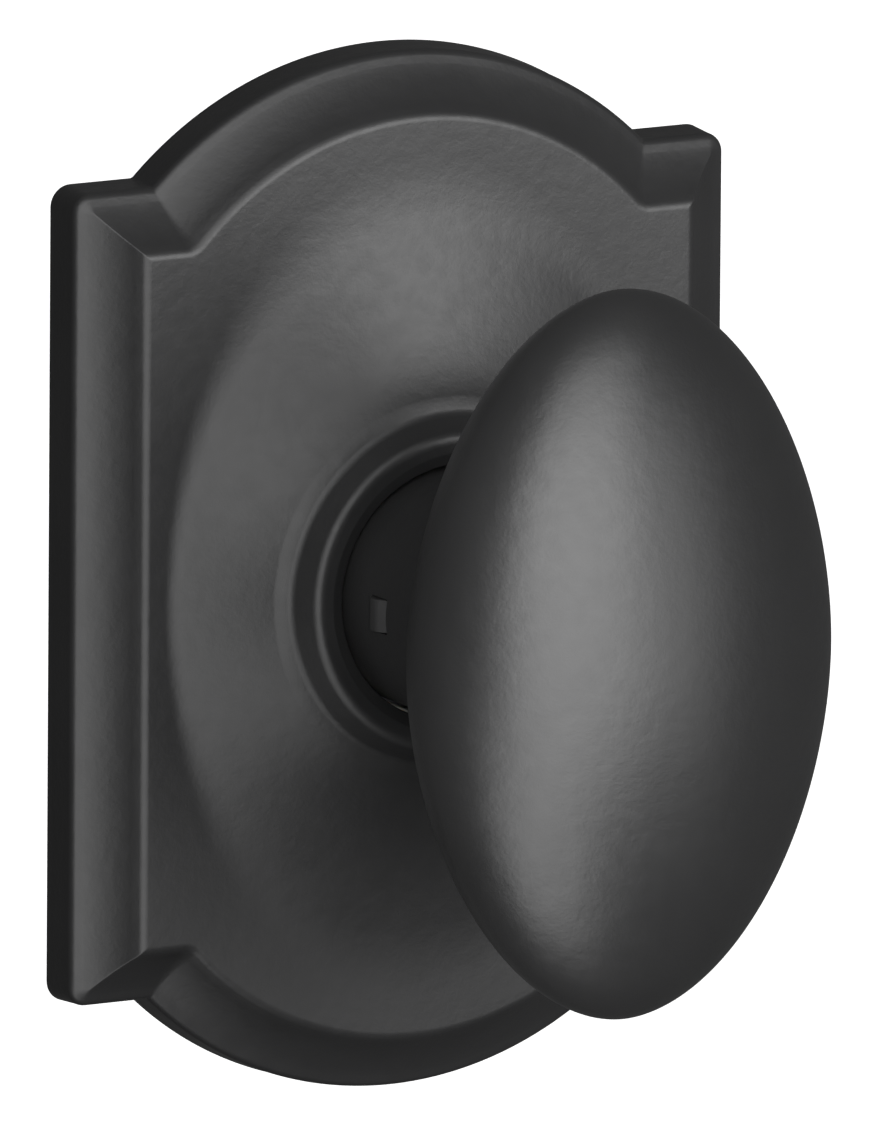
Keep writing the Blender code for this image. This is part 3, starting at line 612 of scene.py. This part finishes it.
def skin(h, inset=0.0, lift=0.0):
    """Ring of the knob's surface at h, moved inward by inset and along h by lift."""
    if h >= RIM_H:
        u = (h - RIM_H) / FRONT_DEPTH
        k = (1 - u ** FRONT_POWER) ** (1 / FRONT_POWER)
        return knob_ring(KNOB_X * k - inset, KNOB_Z * k - inset, h + lift, 1.0)
    u = (RIM_H - h) / BACK_DEPTH
    k = (1 - u ** BACK_POWER) ** (1 / BACK_POWER)
    return knob_ring(FOOT_R + (KNOB_X - FOOT_R) * k - inset,
                     FOOT_R + (KNOB_Z - FOOT_R) * k - inset, h + lift, k)


# skin stations: (h, inset, lift)
FACE_INSIDE = [(63.2, 1.7, -1.35), (61.7, 1.8, -1.2), (59.6, 1.8, -0.9), (56.8, 1.7, -0.5),
               (53.8, 1.5, -0.15), (RIM_H, 1.4), (47.6, 1.45), (SEAM_H + 0.12, 1.5)]
FACE_SEAM = [(SEAM_H + 0.12, 0.22), (SEAM_H + 0.2, 0.06), (SEAM_H + 0.34,)]
BACK_H = [39.75, 40.1, 40.6, 41.3, 42.1, 43.0, 43.9, 44.6, SEAM_H - 0.14]
BACK_SEAM_INSIDE = [(SEAM_H - 0.02, 0.08), (SEAM_H + 0.04, 0.3), (SEAM_H, 1.9, 0.1),
                    (47.6, 1.85, 0.3), (47.6, 2.7, 0.3), (SEAM_H, 3.2, 0.4),
                    (43.0, 2.6, 1.1), (41.3, 2.2, 1.35), (40.1, 1.6, 1.45)]
# knob_ring stations round the hole: (half_x, half_z, h, blend)
BACK_HOLE = [(OPENING_R, OPENING_R, 39.45, 0.0), (12.9, 13.0, 39.45, 0.05),
             (14.6, 15.4, 39.5, 0.2)]
BACK_HOLE_INSIDE = [(14.2, 15.0, 40.95, 0.2), (OPENING_R, OPENING_R, 40.9, 0.0)]


def knob_face():
    rings = [skin(*station) for station in FACE_INSIDE + FACE_SEAM]
    lip_h = SEAM_H + 0.34
    for i in range(1, SEAM_STEPS + 1):
        rings.append(skin(lip_h + (RIM_H - lip_h) * i / SEAM_STEPS))
    for i in range(1, FRONT_STEPS):
        # even steps along the curve of the dome
        t = math.pi / 2 * i / FRONT_STEPS
        rings.append(skin(RIM_H + FRONT_DEPTH * math.sin(t) ** (2 / FRONT_POWER)))
    top = RIM_H + FRONT_DEPTH
    solid = loft(rings, start=place(0, top - 1.4, 0), end=place(0, top, 0))
    make("knob_face", solid, KNOB_BLACK_PAINTED_LIGHT, "knob", "knob_front_shell", sharp=50)


def knob_back():
    rings = [knob_ring(*station) for station in BACK_HOLE]
    rings += [skin(h) for h in BACK_H]
    rings += [skin(*station) for station in BACK_SEAM_INSIDE]
    rings += [knob_ring(*station) for station in BACK_HOLE_INSIDE]
    make("knob_back", loft(rings, cyclic=True), KNOB_BLACK_PAINTED_LIGHT, "knob",
         "knob_rear_shell", sharp=50)


# =============================================================== neck, catch and catch coil
CATCH_H = 23.1
CATCH_HALF_H, CATCH_HALF_Z = 3.0 / 2, 3.3 / 2
CATCH_LO, CATCH_HI = CATCH_H - CATCH_HALF_H, CATCH_H + CATCH_HALF_H
NECK_R = 12.2
# (radius, h, corner radius)
NECK = [(8.9, 10.6, 0.2), (NECK_R, 10.6, 0.5), (NECK_R, 21.2), (NECK_R, 25.0),
        (NECK_R, 36.4, 3.2), (12.75, 38.2, 2.0), (14.5, 39.1, 0.25), (10.1, 39.1, 0.2),
        (10.1, 44.6, 0.5), (6.0, 44.6, 0.3), (6.0, 29.0), (8.9, 29.0)]
# side view of the catch: (x, h, corner radius)
CATCH = [(-5.0, CATCH_LO), (-12.35, CATCH_LO, 0.2), (-12.75, CATCH_LO + 0.75, 0.9),
         (-12.6, CATCH_LO + 1.75, 1.6), (-11.75, CATCH_HI, 0.45), (-5.0, CATCH_HI)]
CATCH_COIL_R, CATCH_WIRE_R, CATCH_TURNS, CATCH_TURN_STEPS = 1.6, 0.25, 5, 30
CATCH_COIL_X, CATCH_COIL_LEN = -3.05, 8.15


def catch_window(x0, x1, gap):
    """Opening round the catch with a gap on all four sides."""
    return box(x0, x1, CATCH_LO - gap, CATCH_HI + gap, -CATCH_HALF_Z - gap, CATCH_HALF_Z + gap)


def neck():
    obj = build("neck_tube", lathe(rounded(NECK, 8, closed=True), 160), NECK_BLACK_PAINTED_LIGHT)
    cut(obj, catch_window(-14, -7, 0.1))
    # keyway in the bore, on the +X side
    cut(obj, box(7.0, 10.4, 9.0, 28.2, -1.85, 1.85))
    bevel(obj, 0.09, 2, 40)
    register(obj, "knob", "knob_neck")


def catch_button():
    outline = rounded(CATCH, 6)
    count = len(outline)
    verts = [place(x, h, z) for z in (-CATCH_HALF_Z, CATCH_HALF_Z) for x, h in outline]
    faces = [tuple(range(count)), tuple(range(2 * count - 1, count - 1, -1))]
    for i in range(count):
        j = (i + 1) % count
        faces.append((i, i + count, j + count, j))
    obj = build("catch_button", (verts, faces), CATCH_BLACK_PAINTED_LIGHT)
    # wider foot at the inner end
    join(obj, box(-5.2, -3.6, CATCH_LO, CATCH_HI, -2.7, 2.7))
    bevel(obj, 0.16, 3)
    register(obj, "catch", "knob_catch")


def catch_coil():
    points = []
    steps = CATCH_TURNS * CATCH_TURN_STEPS
    for i in range(steps + 1):
        dh, z = polar(CATCH_COIL_R, 2 * math.pi * i / CATCH_TURN_STEPS)
        s = i / steps
        # uneven pitch along the coil
        s += 0.035 * math.sin(4 * math.pi * s)
        points.append((CATCH_COIL_X + CATCH_COIL_LEN * s, CATCH_H + dh, z))
    obj = build("catch_coil", tube(points, CATCH_WIRE_R, 12), SPRING, sharp=60)
    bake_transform(obj)
    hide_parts("catch_spring")


# =============================================================== mounting plate and posts
PLATE_X, PLATE_Z, PLATE_CORNER, PLATE_T = 29.0, 42.0, 14.0, 1.6
POST_X, SCREW_Z, RIVET_Z = 19.05, 18.4, 36.0
SCREW_HOLE_R, RIVET_HOLE_R = 1.75, 1.8
# in degrees: turn each way, half widths of the sleeve's lug and of a stop, extra room
LUG_ANGLE = 270
TURN, LUG_HALF, STOP_HALF, STOP_GAP = 60.0, 9.0, 6.0, 1.5
POST_R, POST_BORE_R = 3.8, 1.9
# (radius, h, corner radius): flange before the plate, waist, shoulder behind it
POST_HEAD = [(0, 2.9), (3.7, 2.9, 0.5), (POST_R, 1.9, 0.12), (2.3, 1.9), (2.3, -0.3),
             (POST_R, -0.3, 0.15)]
POST_END = [(POST_R, -19.0), (POST_R, -19.5, 0.2), (3.3, -20.0, 0.15),
            (POST_BORE_R, -20.0, 0.1), (POST_BORE_R, -19.0)]
POST_GROOVES, POST_GROOVE_H, POST_PITCH = 18, -18.6, 0.7


def mounting_plate():
    outline = rounded_rect(PLATE_X, PLATE_Z, PLATE_CORNER, 24)
    obj = build("backing_plate", prism(outline, 0.0, PLATE_T), ZINC)
    holes = [cylinder(8.95, -1, 3, 96)]
    stops = []
    for side in SIDES:
        holes += [cylinder(2.6, -1, 3, 40, x=side * POST_X),
                  cylinder(SCREW_HOLE_R, -1, 3, 32, z=side * SCREW_Z),
                  cylinder(RIVET_HOLE_R, -1, 3, 32, z=side * RIVET_Z)]
        middle = LUG_ANGLE + side * (TURN + LUG_HALF + STOP_GAP + STOP_HALF)
        stops.append(sector(11.2, 13.3, middle - STOP_HALF, middle + STOP_HALF,
                            PLATE_T - 0.6, 3.2, 8))
    cut(obj, *holes)
    join(obj, *stops)
    bevel(obj, 0.14, 2)
    register(obj, "rose", "mounting_plate")


def posts():
    profile = rounded(POST_HEAD, 5) + [(POST_R, -0.6)] + rounded(POST_END, 4)
    # grooves in the wall of the blind bore
    for i in range(POST_GROOVES):
        h = POST_GROOVE_H + POST_PITCH * i
        profile += [(POST_BORE_R, h), (2.12, h + 0.2), (2.12, h + 0.3), (POST_BORE_R, h + 0.5)]
    profile += [(POST_BORE_R, -5.6), (0, -5.0)]
    for name, side in (("left", -1), ("right", 1)):
        make("bolt_post_" + name, lathe(profile, 56, x=side * POST_X), ZINC, "rose",
             "post_" + name, sharp=30)


# =============================================================== clips and rivets
CLIP_PATH = [(2.2, 32.5), (2.2, 41.0), (3.1, 44.3), (2.9, 46.8), (1.3, 49.0)]   # (h, z)
CLIP_HALF_X, CLIP_HALF_T = 5.0, 0.3
# (radius, h, corner radius)
RIVET = [(0, 3.9), (1.7, 3.85, 1.2), (2.6, 2.95, 0.3), (2.6, 2.8, 0.05), (1.5, 2.8),
         (1.5, 0.15, 0.1), (0, 0.15)]


def clip(name, side):
    line = smooth_path(CLIP_PATH, 3)
    near, far = [], []
    for k, (h, z) in enumerate(line):
        before, after = line[max(k - 1, 0)], line[min(k + 1, len(line) - 1)]
        dh, dz = after[0] - before[0], after[1] - before[1]
        length = math.hypot(dh, dz)
        off_h, off_z = dz / length * CLIP_HALF_T, dh / length * CLIP_HALF_T
        near.append((h + off_h, (z - off_z) * side))
        far.append((h - off_h, (z + off_z) * side))
    outline = near + far[::-1]
    solid = loft([[place(x, h, z) for h, z in outline] for x in (-CLIP_HALF_X, CLIP_HALF_X)],
                 start="flat", end="flat")
    obj = build("leaf_clip_" + name, solid, LEAF)
    cut(obj, cylinder(RIVET_HOLE_R, 0, 4, 32, z=side * RIVET_Z))
    bevel(obj, 0.1, 2, 50)
    register(obj, "rose", "clip_" + name)


def clips_and_rivets():
    for name, side in (("top", 1), ("bottom", -1)):
        clip(name, side)
        make("rivet_" + name, lathe(rounded(RIVET, 6), 40, z=side * RIVET_Z), ZINC, "rose",
             "clip_rivet_" + name, sharp=40)


# =============================================================== spring cage and its screws
CAGE_R, CAGE_WALL = 14.9, 1.0
# (radius, h, corner radius)
CAGE = [(CAGE_R, 1.9, 0.1), (CAGE_R, 9.0, 0.7), (10.4, 9.0, 0.15), (10.4, 8.0, 0.1),
        (CAGE_R - CAGE_WALL, 8.0, 0.25), (CAGE_R - CAGE_WALL, 1.9, 0.1)]
# return coil: rises from START_H, its outer leg passes through the cage wall
COIL_START_H, COIL_PITCH, COIL_TURNS, COIL_TURN_STEPS = 4.1, 1.3, 2.25, 40
COIL_R, COIL_WIRE_R = 12.0, 0.6
COIL_END, COIL_END_H = 330.0, COIL_START_H + COIL_PITCH * COIL_TURNS
COIL_START = COIL_END - 360.0 * COIL_TURNS
LEG = math.radians(COIL_END)
# (radius, h, corner radius)
SCREW_HEAD = [(0, 4.95), (1.6, 4.9, 1.2), (2.75, 4.2, 0.7), (2.9, 3.2, 0.12), (1.45, 3.2)]
THREADS, THREAD_H, THREAD_PITCH = 9, 2.9, 0.45
CROSS_LONG, CROSS_NARROW = 1.5, 0.28            # half sizes of a bar of the cross recess


def cage():
    obj = build("cage_cup", lathe(rounded(CAGE, 6, closed=True)), ZINC)
    feet, holes = [], []
    inner, outer = CAGE_R - 0.6, SCREW_Z + 3.2
    half = [(3.0, outer), (4.1, outer - 0.6), (4.5, outer - 1.5), (4.5, inner)]
    for side in SIDES:
        outline = [(-x, side * z) for x, z in reversed(half)] + [(x, side * z) for x, z in half]
        feet.append(prism(outline, 1.9, 2.9))
        holes.append(cylinder(SCREW_HOLE_R, 1, 4, 32, z=side * SCREW_Z))
    # slot for the leg of the return coil
    cos, sin = math.cos(LEG), math.sin(LEG)
    x, z = polar(14.4, LEG)
    slot = [(x + u * cos - w * sin, z + u * sin + w * cos)
            for u, w in ((-1.6, -1.4), (1.6, -1.4), (1.6, 1.4), (-1.6, 1.4))]
    join(obj, *feet)
    cut(obj, *holes, prism(slot, COIL_END_H - 1.3, 7.95))
    bevel(obj, 0.08, 2, 45)
    register(obj, "rose", "spring_cage")


def cage_screws():
    profile = rounded(SCREW_HEAD, 5)
    for i in range(THREADS):
        h = THREAD_H - THREAD_PITCH * i
        profile += [(1.45, h), (1.22, h - 0.12), (1.22, h - 0.2), (1.45, h - 0.32)]
    profile += [(1.3, -1.1), (1.0, -1.5), (0, -1.5)]
    for name, side in (("top", 1), ("bottom", -1)):
        z = side * SCREW_Z
        obj = build("pan_screw_" + name, lathe(profile, 40, z=z), ZINC, sharp=30)
        for half_x, half_z in ((CROSS_LONG, CROSS_NARROW), (CROSS_NARROW, CROSS_LONG)):
            cut(obj, box(-half_x, half_x, 4.0, 5.6, z - half_z, z + half_z))
        shade(obj.data, 30)
        register(obj, "rose", "cage_screw_" + name)


# =============================================================== bushings, washer, snap ring
# (radius, h, corner radius)
CAGE_BUSH = [(8.85, 7.2, 0.2), (10.1, 7.2, 0.2), (10.1, 9.3, 0.1), (12.0, 9.3, 0.15),
             (12.0, 10.1, 0.3), (8.85, 10.1, 0.25)]
NECK_BUSH = [(12.5, 11.2, 0.3), (13.9, 11.2, 0.2), (13.9, 14.6, 0.2), (12.5, 14.6, 0.4)]
WASHER = [(8.95, -0.3, 0.08), (8.95, -1.1, 0.12), (12.2, -1.1, 0.2), (12.2, -0.3, 0.12)]
RING_GAP = 22.0                                 # half the snap ring's opening, degrees
RING_STEPS = 96


def bushes_and_washer():
    for name, profile, seg, count, mat, body, slot, replaced in (
            ("cage_bush", CAGE_BUSH, 4, 96, NYLON, "rose", "nylon", "cage_bushing"),
            ("neck_bush", NECK_BUSH, 4, 120, NYLON, "rose", "nylon", "neck_bushing"),
            ("brass_washer", WASHER, 3, 96, BRASS, "knob", "brass", "thrust_washer")):
        make(name, lathe(rounded(profile, seg, closed=True), count), mat, body,
             replaced, sharp=40)


def snap_ring():
    """Open ring, gap at the top; it thins towards the gap and ends in two drilled ears."""
    angles = [math.radians(90 + RING_GAP + (360 - 2 * RING_GAP) * i / RING_STEPS)
              for i in range(RING_STEPS + 1)]
    outline = []
    for i, angle in enumerate(angles):
        k = abs(i - RING_STEPS / 2) / (RING_STEPS / 2)
        outline.append(polar(10.9 - 0.9 * k ** 2 + (0.9 if k > 0.93 else 0.0), angle))
    outline += [polar(7.9, angle) for angle in reversed(angles)]
    obj = build("snap_ring", prism(outline, -1.5, -2.4), SPRING)
    for side in SIDES:
        x, z = polar(9.6, math.radians(90 + side * (RING_GAP + 5.5)))
        cut(obj, cylinder(0.55, -3, -1, 20, x=x, z=z))
    bevel(obj, 0.08, 2, 40)
    register(obj, "knob", "retaining_ring")


# =============================================================== return coil
def return_coil():
    def spot(radius, angle, h):
        x, z = polar(radius, angle)
        return x, h, z

    start = math.radians(COIL_START)
    steps = int(COIL_TURNS * COIL_TURN_STEPS)
    points = [spot(9.0, start, COIL_START_H), spot(10.4, start, COIL_START_H),
              spot(11.5, start + 0.03, COIL_START_H)]
    # the first and last steps are left to the bends into the legs
    for i in range(5, steps - 3):
        angle = math.radians(COIL_START + 360.0 * COIL_TURNS * i / steps)
        points.append(spot(COIL_R, angle, COIL_START_H + COIL_PITCH * COIL_TURNS * i / steps))
    points += [spot(12.5, LEG - 0.03, COIL_END_H), spot(13.6, LEG, COIL_END_H),
               spot(16.0, LEG, COIL_END_H)]
    obj = build("return_coil", tube(points, COIL_WIRE_R, 18), SPRING, sharp=60)
    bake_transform(obj)
    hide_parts("return_spring")


# =============================================================== sleeve, spindle, pin, nut
SLEEVE_R, SOCKET_HALF = 8.55, 4.1
# (radius, h, corner radius)
SLEEVE = [(0, -3.6), (SLEEVE_R, -3.6, 0.35), (SLEEVE_R, -2.7, 0.05), (7.6, -2.7),
          (7.6, -1.2), (SLEEVE_R, -1.2, 0.05), (SLEEVE_R, 2.0), (10.2, 2.0, 0.15),
          (10.2, 3.2, 0.15), (SLEEVE_R, 3.2, 0.15), (SLEEVE_R, 27.5, 0.8), (6.0, 27.5, 0.25),
          (6.0, 19.0), (0, 19.0)]
PIN_H, PIN_HOLE_R = 12.0, 1.12
# (radius, z, corner radius)
PIN = [(0.5, -8.3, 0.1), (0.8, -8.3, 0.1), (1.0, -8.0, 0.1), (1.0, 8.0, 0.1),
       (0.8, 8.3, 0.1), (0.5, 8.3, 0.1)]
SPINDLE_HALF, SPINDLE_CORNER = 3.8, 0.45
# (h, inset), from the room end to the free end
SPINDLE = [(18.6, 0.75), (18.35, 0.3), (17.9, 0.0), (8.0, 0), (-8.0, 0), (-20.0, 0),
           (-34.8, 0), (-35.4, 0.45), (-36.0, 1.2)]
NUT = [(10.4, 41.3, 0.2), (14.0, 41.3, 0.35), (14.0, 44.0, 0.35), (10.4, 44.0, 0.2)]


def pin_hole(half_z):
    return cylinder(PIN_HOLE_R, -half_z, half_z, 32, h=PIN_H, axis="z")


def drive_sleeve():
    obj = build("drive_tube", lathe(rounded(SLEEVE, 5)), CAST)
    # lug that meets the plate's stops
    join(obj, sector(9.6, 13.0, LUG_ANGLE - LUG_HALF, LUG_ANGLE + LUG_HALF, 2.2, 3.0, 8))
    # key for the neck's keyway
    join(obj, box(7.6, 10.0, 12.0, 27.0, -1.5, 1.5))
    # block beside the inner leg of the return coil
    block = COIL_START - 14.0
    join(obj, sector(8.2, 10.2, block - 6, block + 6, 2.6, 4.9, 6))
    cut(obj, box(-SOCKET_HALF, SOCKET_HALF, -5, 19.5, -SOCKET_HALF, SOCKET_HALF))
    cut(obj, pin_hole(10))
    cut(obj, catch_window(-10, -4, 0.2))
    bevel(obj, 0.1, 2, 50)
    register(obj, "knob", "drive_sleeve")


def spindle():
    rings = []
    for h, inset in SPINDLE:
        half = SPINDLE_HALF - inset
        rings.append([place(x, h, z) for x, z in rounded_rect(half, half, SPINDLE_CORNER, 5)])
    obj = build("square_spindle", loft(rings, start="flat", end="flat"), ZINC_BAR, sharp=25)
    cut(obj, pin_hole(8))
    shade(obj.data, 25)
    register(obj, "knob", "spindle")


def roll_pin():
    profile = rounded(PIN, 3, closed=True)
    obj = build("roll_pin", lathe(profile, 32, h=PIN_H, axis="z"), SPRING)
    cut(obj, box(0, 2, PIN_H - 0.15, PIN_H + 0.15, -9, 9))
    shade(obj.data, 35)
    register(obj, "knob", "spindle_pin")


def ring_nut():
    obj = build("ring_nut", lathe(rounded(NUT, 4, closed=True)), BRASS)
    # two notches, at -X and +X
    cut(obj, box(-16, -12.2, 42.6, 45, -1.3, 1.3), box(12.2, 16, 42.6, 45, -1.3, 1.3))
    bevel(obj, 0.1, 2, 45)
    register(obj, "knob", "knob_ring_nut")


for piece in (rosette, knob_face, knob_back, neck, catch_button, catch_coil, mounting_plate,
              posts, clips_and_rivets, cage, cage_screws, bushes_and_washer, snap_ring,
              return_coil, drive_sleeve, spindle, roll_pin, ring_nut):
    piece()

# =============================================================== floor
FLOOR_HALF_M, FLOOR_Z_M = 30, -0.30             # metres


def make_floor():
    """Pale glowing floor that neither reflects in the pieces nor lights them."""
    mesh = bpy.data.meshes.new("floor")
    edit = bmesh.new()
    for sx, sy in ((-1, -1), (1, -1), (1, 1), (-1, 1)):
        edit.verts.new((sx * FLOOR_HALF_M, sy * FLOOR_HALF_M, FLOOR_Z_M))
    edit.faces.new(edit.verts)
    edit.to_mesh(mesh)
    edit.free()
    floor = bpy.data.objects.new("floor", mesh)
    scene.collection.objects.link(floor)
    mat = bpy.data.materials.new("floor_pale")
    mat.use_nodes = True
    bsdf = mat.node_tree.nodes["Principled BSDF"]
    for name, value in {"Base Color": (0.9, 0.9, 0.9, 1), "Roughness": 0.9,
                        "Specular IOR Level": 0.0, "Emission Color": (1, 1, 1, 1),
                        "Emission Strength": 0.86}.items():
        bsdf.inputs[name].default_value = value
    mesh.materials.append(mat)
    floor.visible_glossy = False
    floor.visible_diffuse = False


# =============================================================== world
# Soft-edged studio panels, by the directions they fill, in degrees. Azimuth 0 is straight
# in front of the door, negative to the left.
# azimuth from, to, elevation from, to, strength, softness in azimuth, in elevation
PANELS = [
    (-46, 6, 2, 32, 3.9, 8, 8),        # big key, front left
    (-44, 6, -26, 2, 3.3, 8, 7),       # its lower half
    (4, 42, -22, 26, 1.25, 9, 9),      # front right, weaker
    (-44, 14, 32, 54, 2.3, 9, 8),      # high, front left
    (-62, -10, -60, -26, 2.5, 8, 8),   # low left
]
AMBIENT, BACKDROP = 0.11, 0.99                  # light between panels; what the camera sees


def make_world():
    world = bpy.data.worlds.new("studio")
    scene.world = world
    world.use_nodes = True
    tree = world.node_tree
    background = tree.nodes["Background"]

    def calc(operation, *values):
        node = tree.nodes.new("ShaderNodeMath")
        node.operation = operation
        for i, value in enumerate(values):
            if isinstance(value, (int, float)):
                node.inputs[i].default_value = value
            else:
                tree.links.new(value, node.inputs[i])
        return node.outputs[0]

    def step(value, centre, soft, down=False):
        node = tree.nodes.new("ShaderNodeMapRange")
        node.interpolation_type = "SMOOTHSTEP"
        node.inputs["From Min"].default_value = centre - soft
        node.inputs["From Max"].default_value = centre + soft
        node.inputs["To Min"].default_value = 1.0 if down else 0.0
        node.inputs["To Max"].default_value = 0.0 if down else 1.0
        tree.links.new(value, node.inputs["Value"])
        return node.outputs["Result"]

    def band(value, low, high, soft):
        return calc("MULTIPLY", step(value, low, soft), step(value, high, soft, down=True))

    coords = tree.nodes.new("ShaderNodeTexCoord")
    split = tree.nodes.new("ShaderNodeSeparateXYZ")
    tree.links.new(coords.outputs["Generated"], split.inputs[0])
    degrees = 180.0 / math.pi
    towards_room = calc("MULTIPLY", split.outputs["Y"], -1.0)
    azimuth = calc("MULTIPLY", calc("ARCTAN2", split.outputs["X"], towards_room), degrees)
    elevation = calc("MULTIPLY", calc("ARCSINE", split.outputs["Z"]), degrees)

    light = None
    for az_from, az_to, el_from, el_to, strength, az_soft, el_soft in PANELS:
        shape = calc("MULTIPLY", band(azimuth, az_from, az_to, az_soft),
                     band(elevation, el_from, el_to, el_soft))
        panel = calc("MULTIPLY", shape, strength)
        light = panel if light is None else calc("ADD", light, panel)
    light = calc("ADD", light, AMBIENT)

    path = tree.nodes.new("ShaderNodeLightPath")
    mix = tree.nodes.new("ShaderNodeMix")
    mix.data_type = "FLOAT"
    mix.inputs["B"].default_value = BACKDROP
    tree.links.new(light, mix.inputs["A"])
    tree.links.new(path.outputs["Is Camera Ray"], mix.inputs["Factor"])
    background.inputs["Color"].default_value = (1, 1, 1, 1)
    tree.links.new(mix.outputs["Result"], background.inputs["Strength"])


# =============================================================== lights
def soft_box(name, width_m, height_m, watts, spot, target, group, receivers):
    """Rectangular area light that reaches only the receivers."""
    light = bpy.data.lights.new(name, "AREA")
    light.shape = "RECTANGLE"
    light.size = width_m
    light.size_y = height_m
    light.energy = watts
    obj = bpy.data.objects.new(name, light)
    scene.collection.objects.link(obj)
    obj.location = spot
    obj.rotation_euler = (target - obj.location).to_track_quat("-Z", "Y").to_euler()
    linked = bpy.data.collections.new(group)
    for receiver in receivers:
        linked.objects.link(receiver)
    obj.light_linking.receiver_collection = linked


def make_lights():
    # in front, to the right of the knob, for the rosette only
    soft_box("plate_fill", width_m=0.26, height_m=0.24, watts=1.45,
             spot=place(165, 400, 125), target=place(0, 10, 30),
             group="plate_only", receivers=[bpy.data.objects["rosette_plate"]])
    # behind the door face, for the pieces at the back
    unlit = ("floor", "rosette_plate", "knob_face", "knob_back", "neck_tube", "catch_button")
    soft_box("rear_fill", width_m=1.1, height_m=0.8, watts=1.9,
             spot=place(40, -600, 60), target=place(0, 0, 0), group="rear_only",
             receivers=[obj for obj in bpy.data.objects
                        if obj.type == "MESH" and obj.name not in unlit])


# =============================================================== camera
# in degrees: swing to the left of the door's normal, tilt above it, roll
SWING, TILT, ROLL = (math.radians(angle) for angle in (28.6226, 11.6517, 0.4013))
CAMERA_DIST, LENS = 4000.0, 1304.3584
SHIFT_RIGHT, SHIFT_UP = 6.260365, -0.156718     # of the view's centre from place(0, 0, 0)


def make_camera():
    back = Vector((-math.sin(SWING) * math.cos(TILT), -math.cos(SWING) * math.cos(TILT),
                   math.sin(TILT)))
    level = Vector((math.cos(SWING), -math.sin(SWING), 0))
    upright = back.cross(level)
    right = level * math.cos(ROLL) + upright * math.sin(ROLL)
    up = -level * math.sin(ROLL) + upright * math.cos(ROLL)
    camera = bpy.data.cameras.new("camera")
    camera.sensor_fit = "AUTO"
    camera.sensor_width = 36.0
    camera.lens = LENS
    camera.clip_start = 0.05
    camera.clip_end = 200.0
    obj = bpy.data.objects.new("camera", camera)
    scene.collection.objects.link(obj)
    spot = (right * SHIFT_RIGHT + up * SHIFT_UP + back * CAMERA_DIST) * MM + place(0, 0, 0)
    obj.matrix_world = Matrix([*zip(right, up, back, spot), (0, 0, 0, 1)])
    scene.camera = obj


make_floor()
make_world()
make_lights()
make_camera()
scene.view_settings.view_transform = "Standard"
scene.view_settings.look = "None"

# =============================================================== final view layer update
bpy.context.view_layer.update()
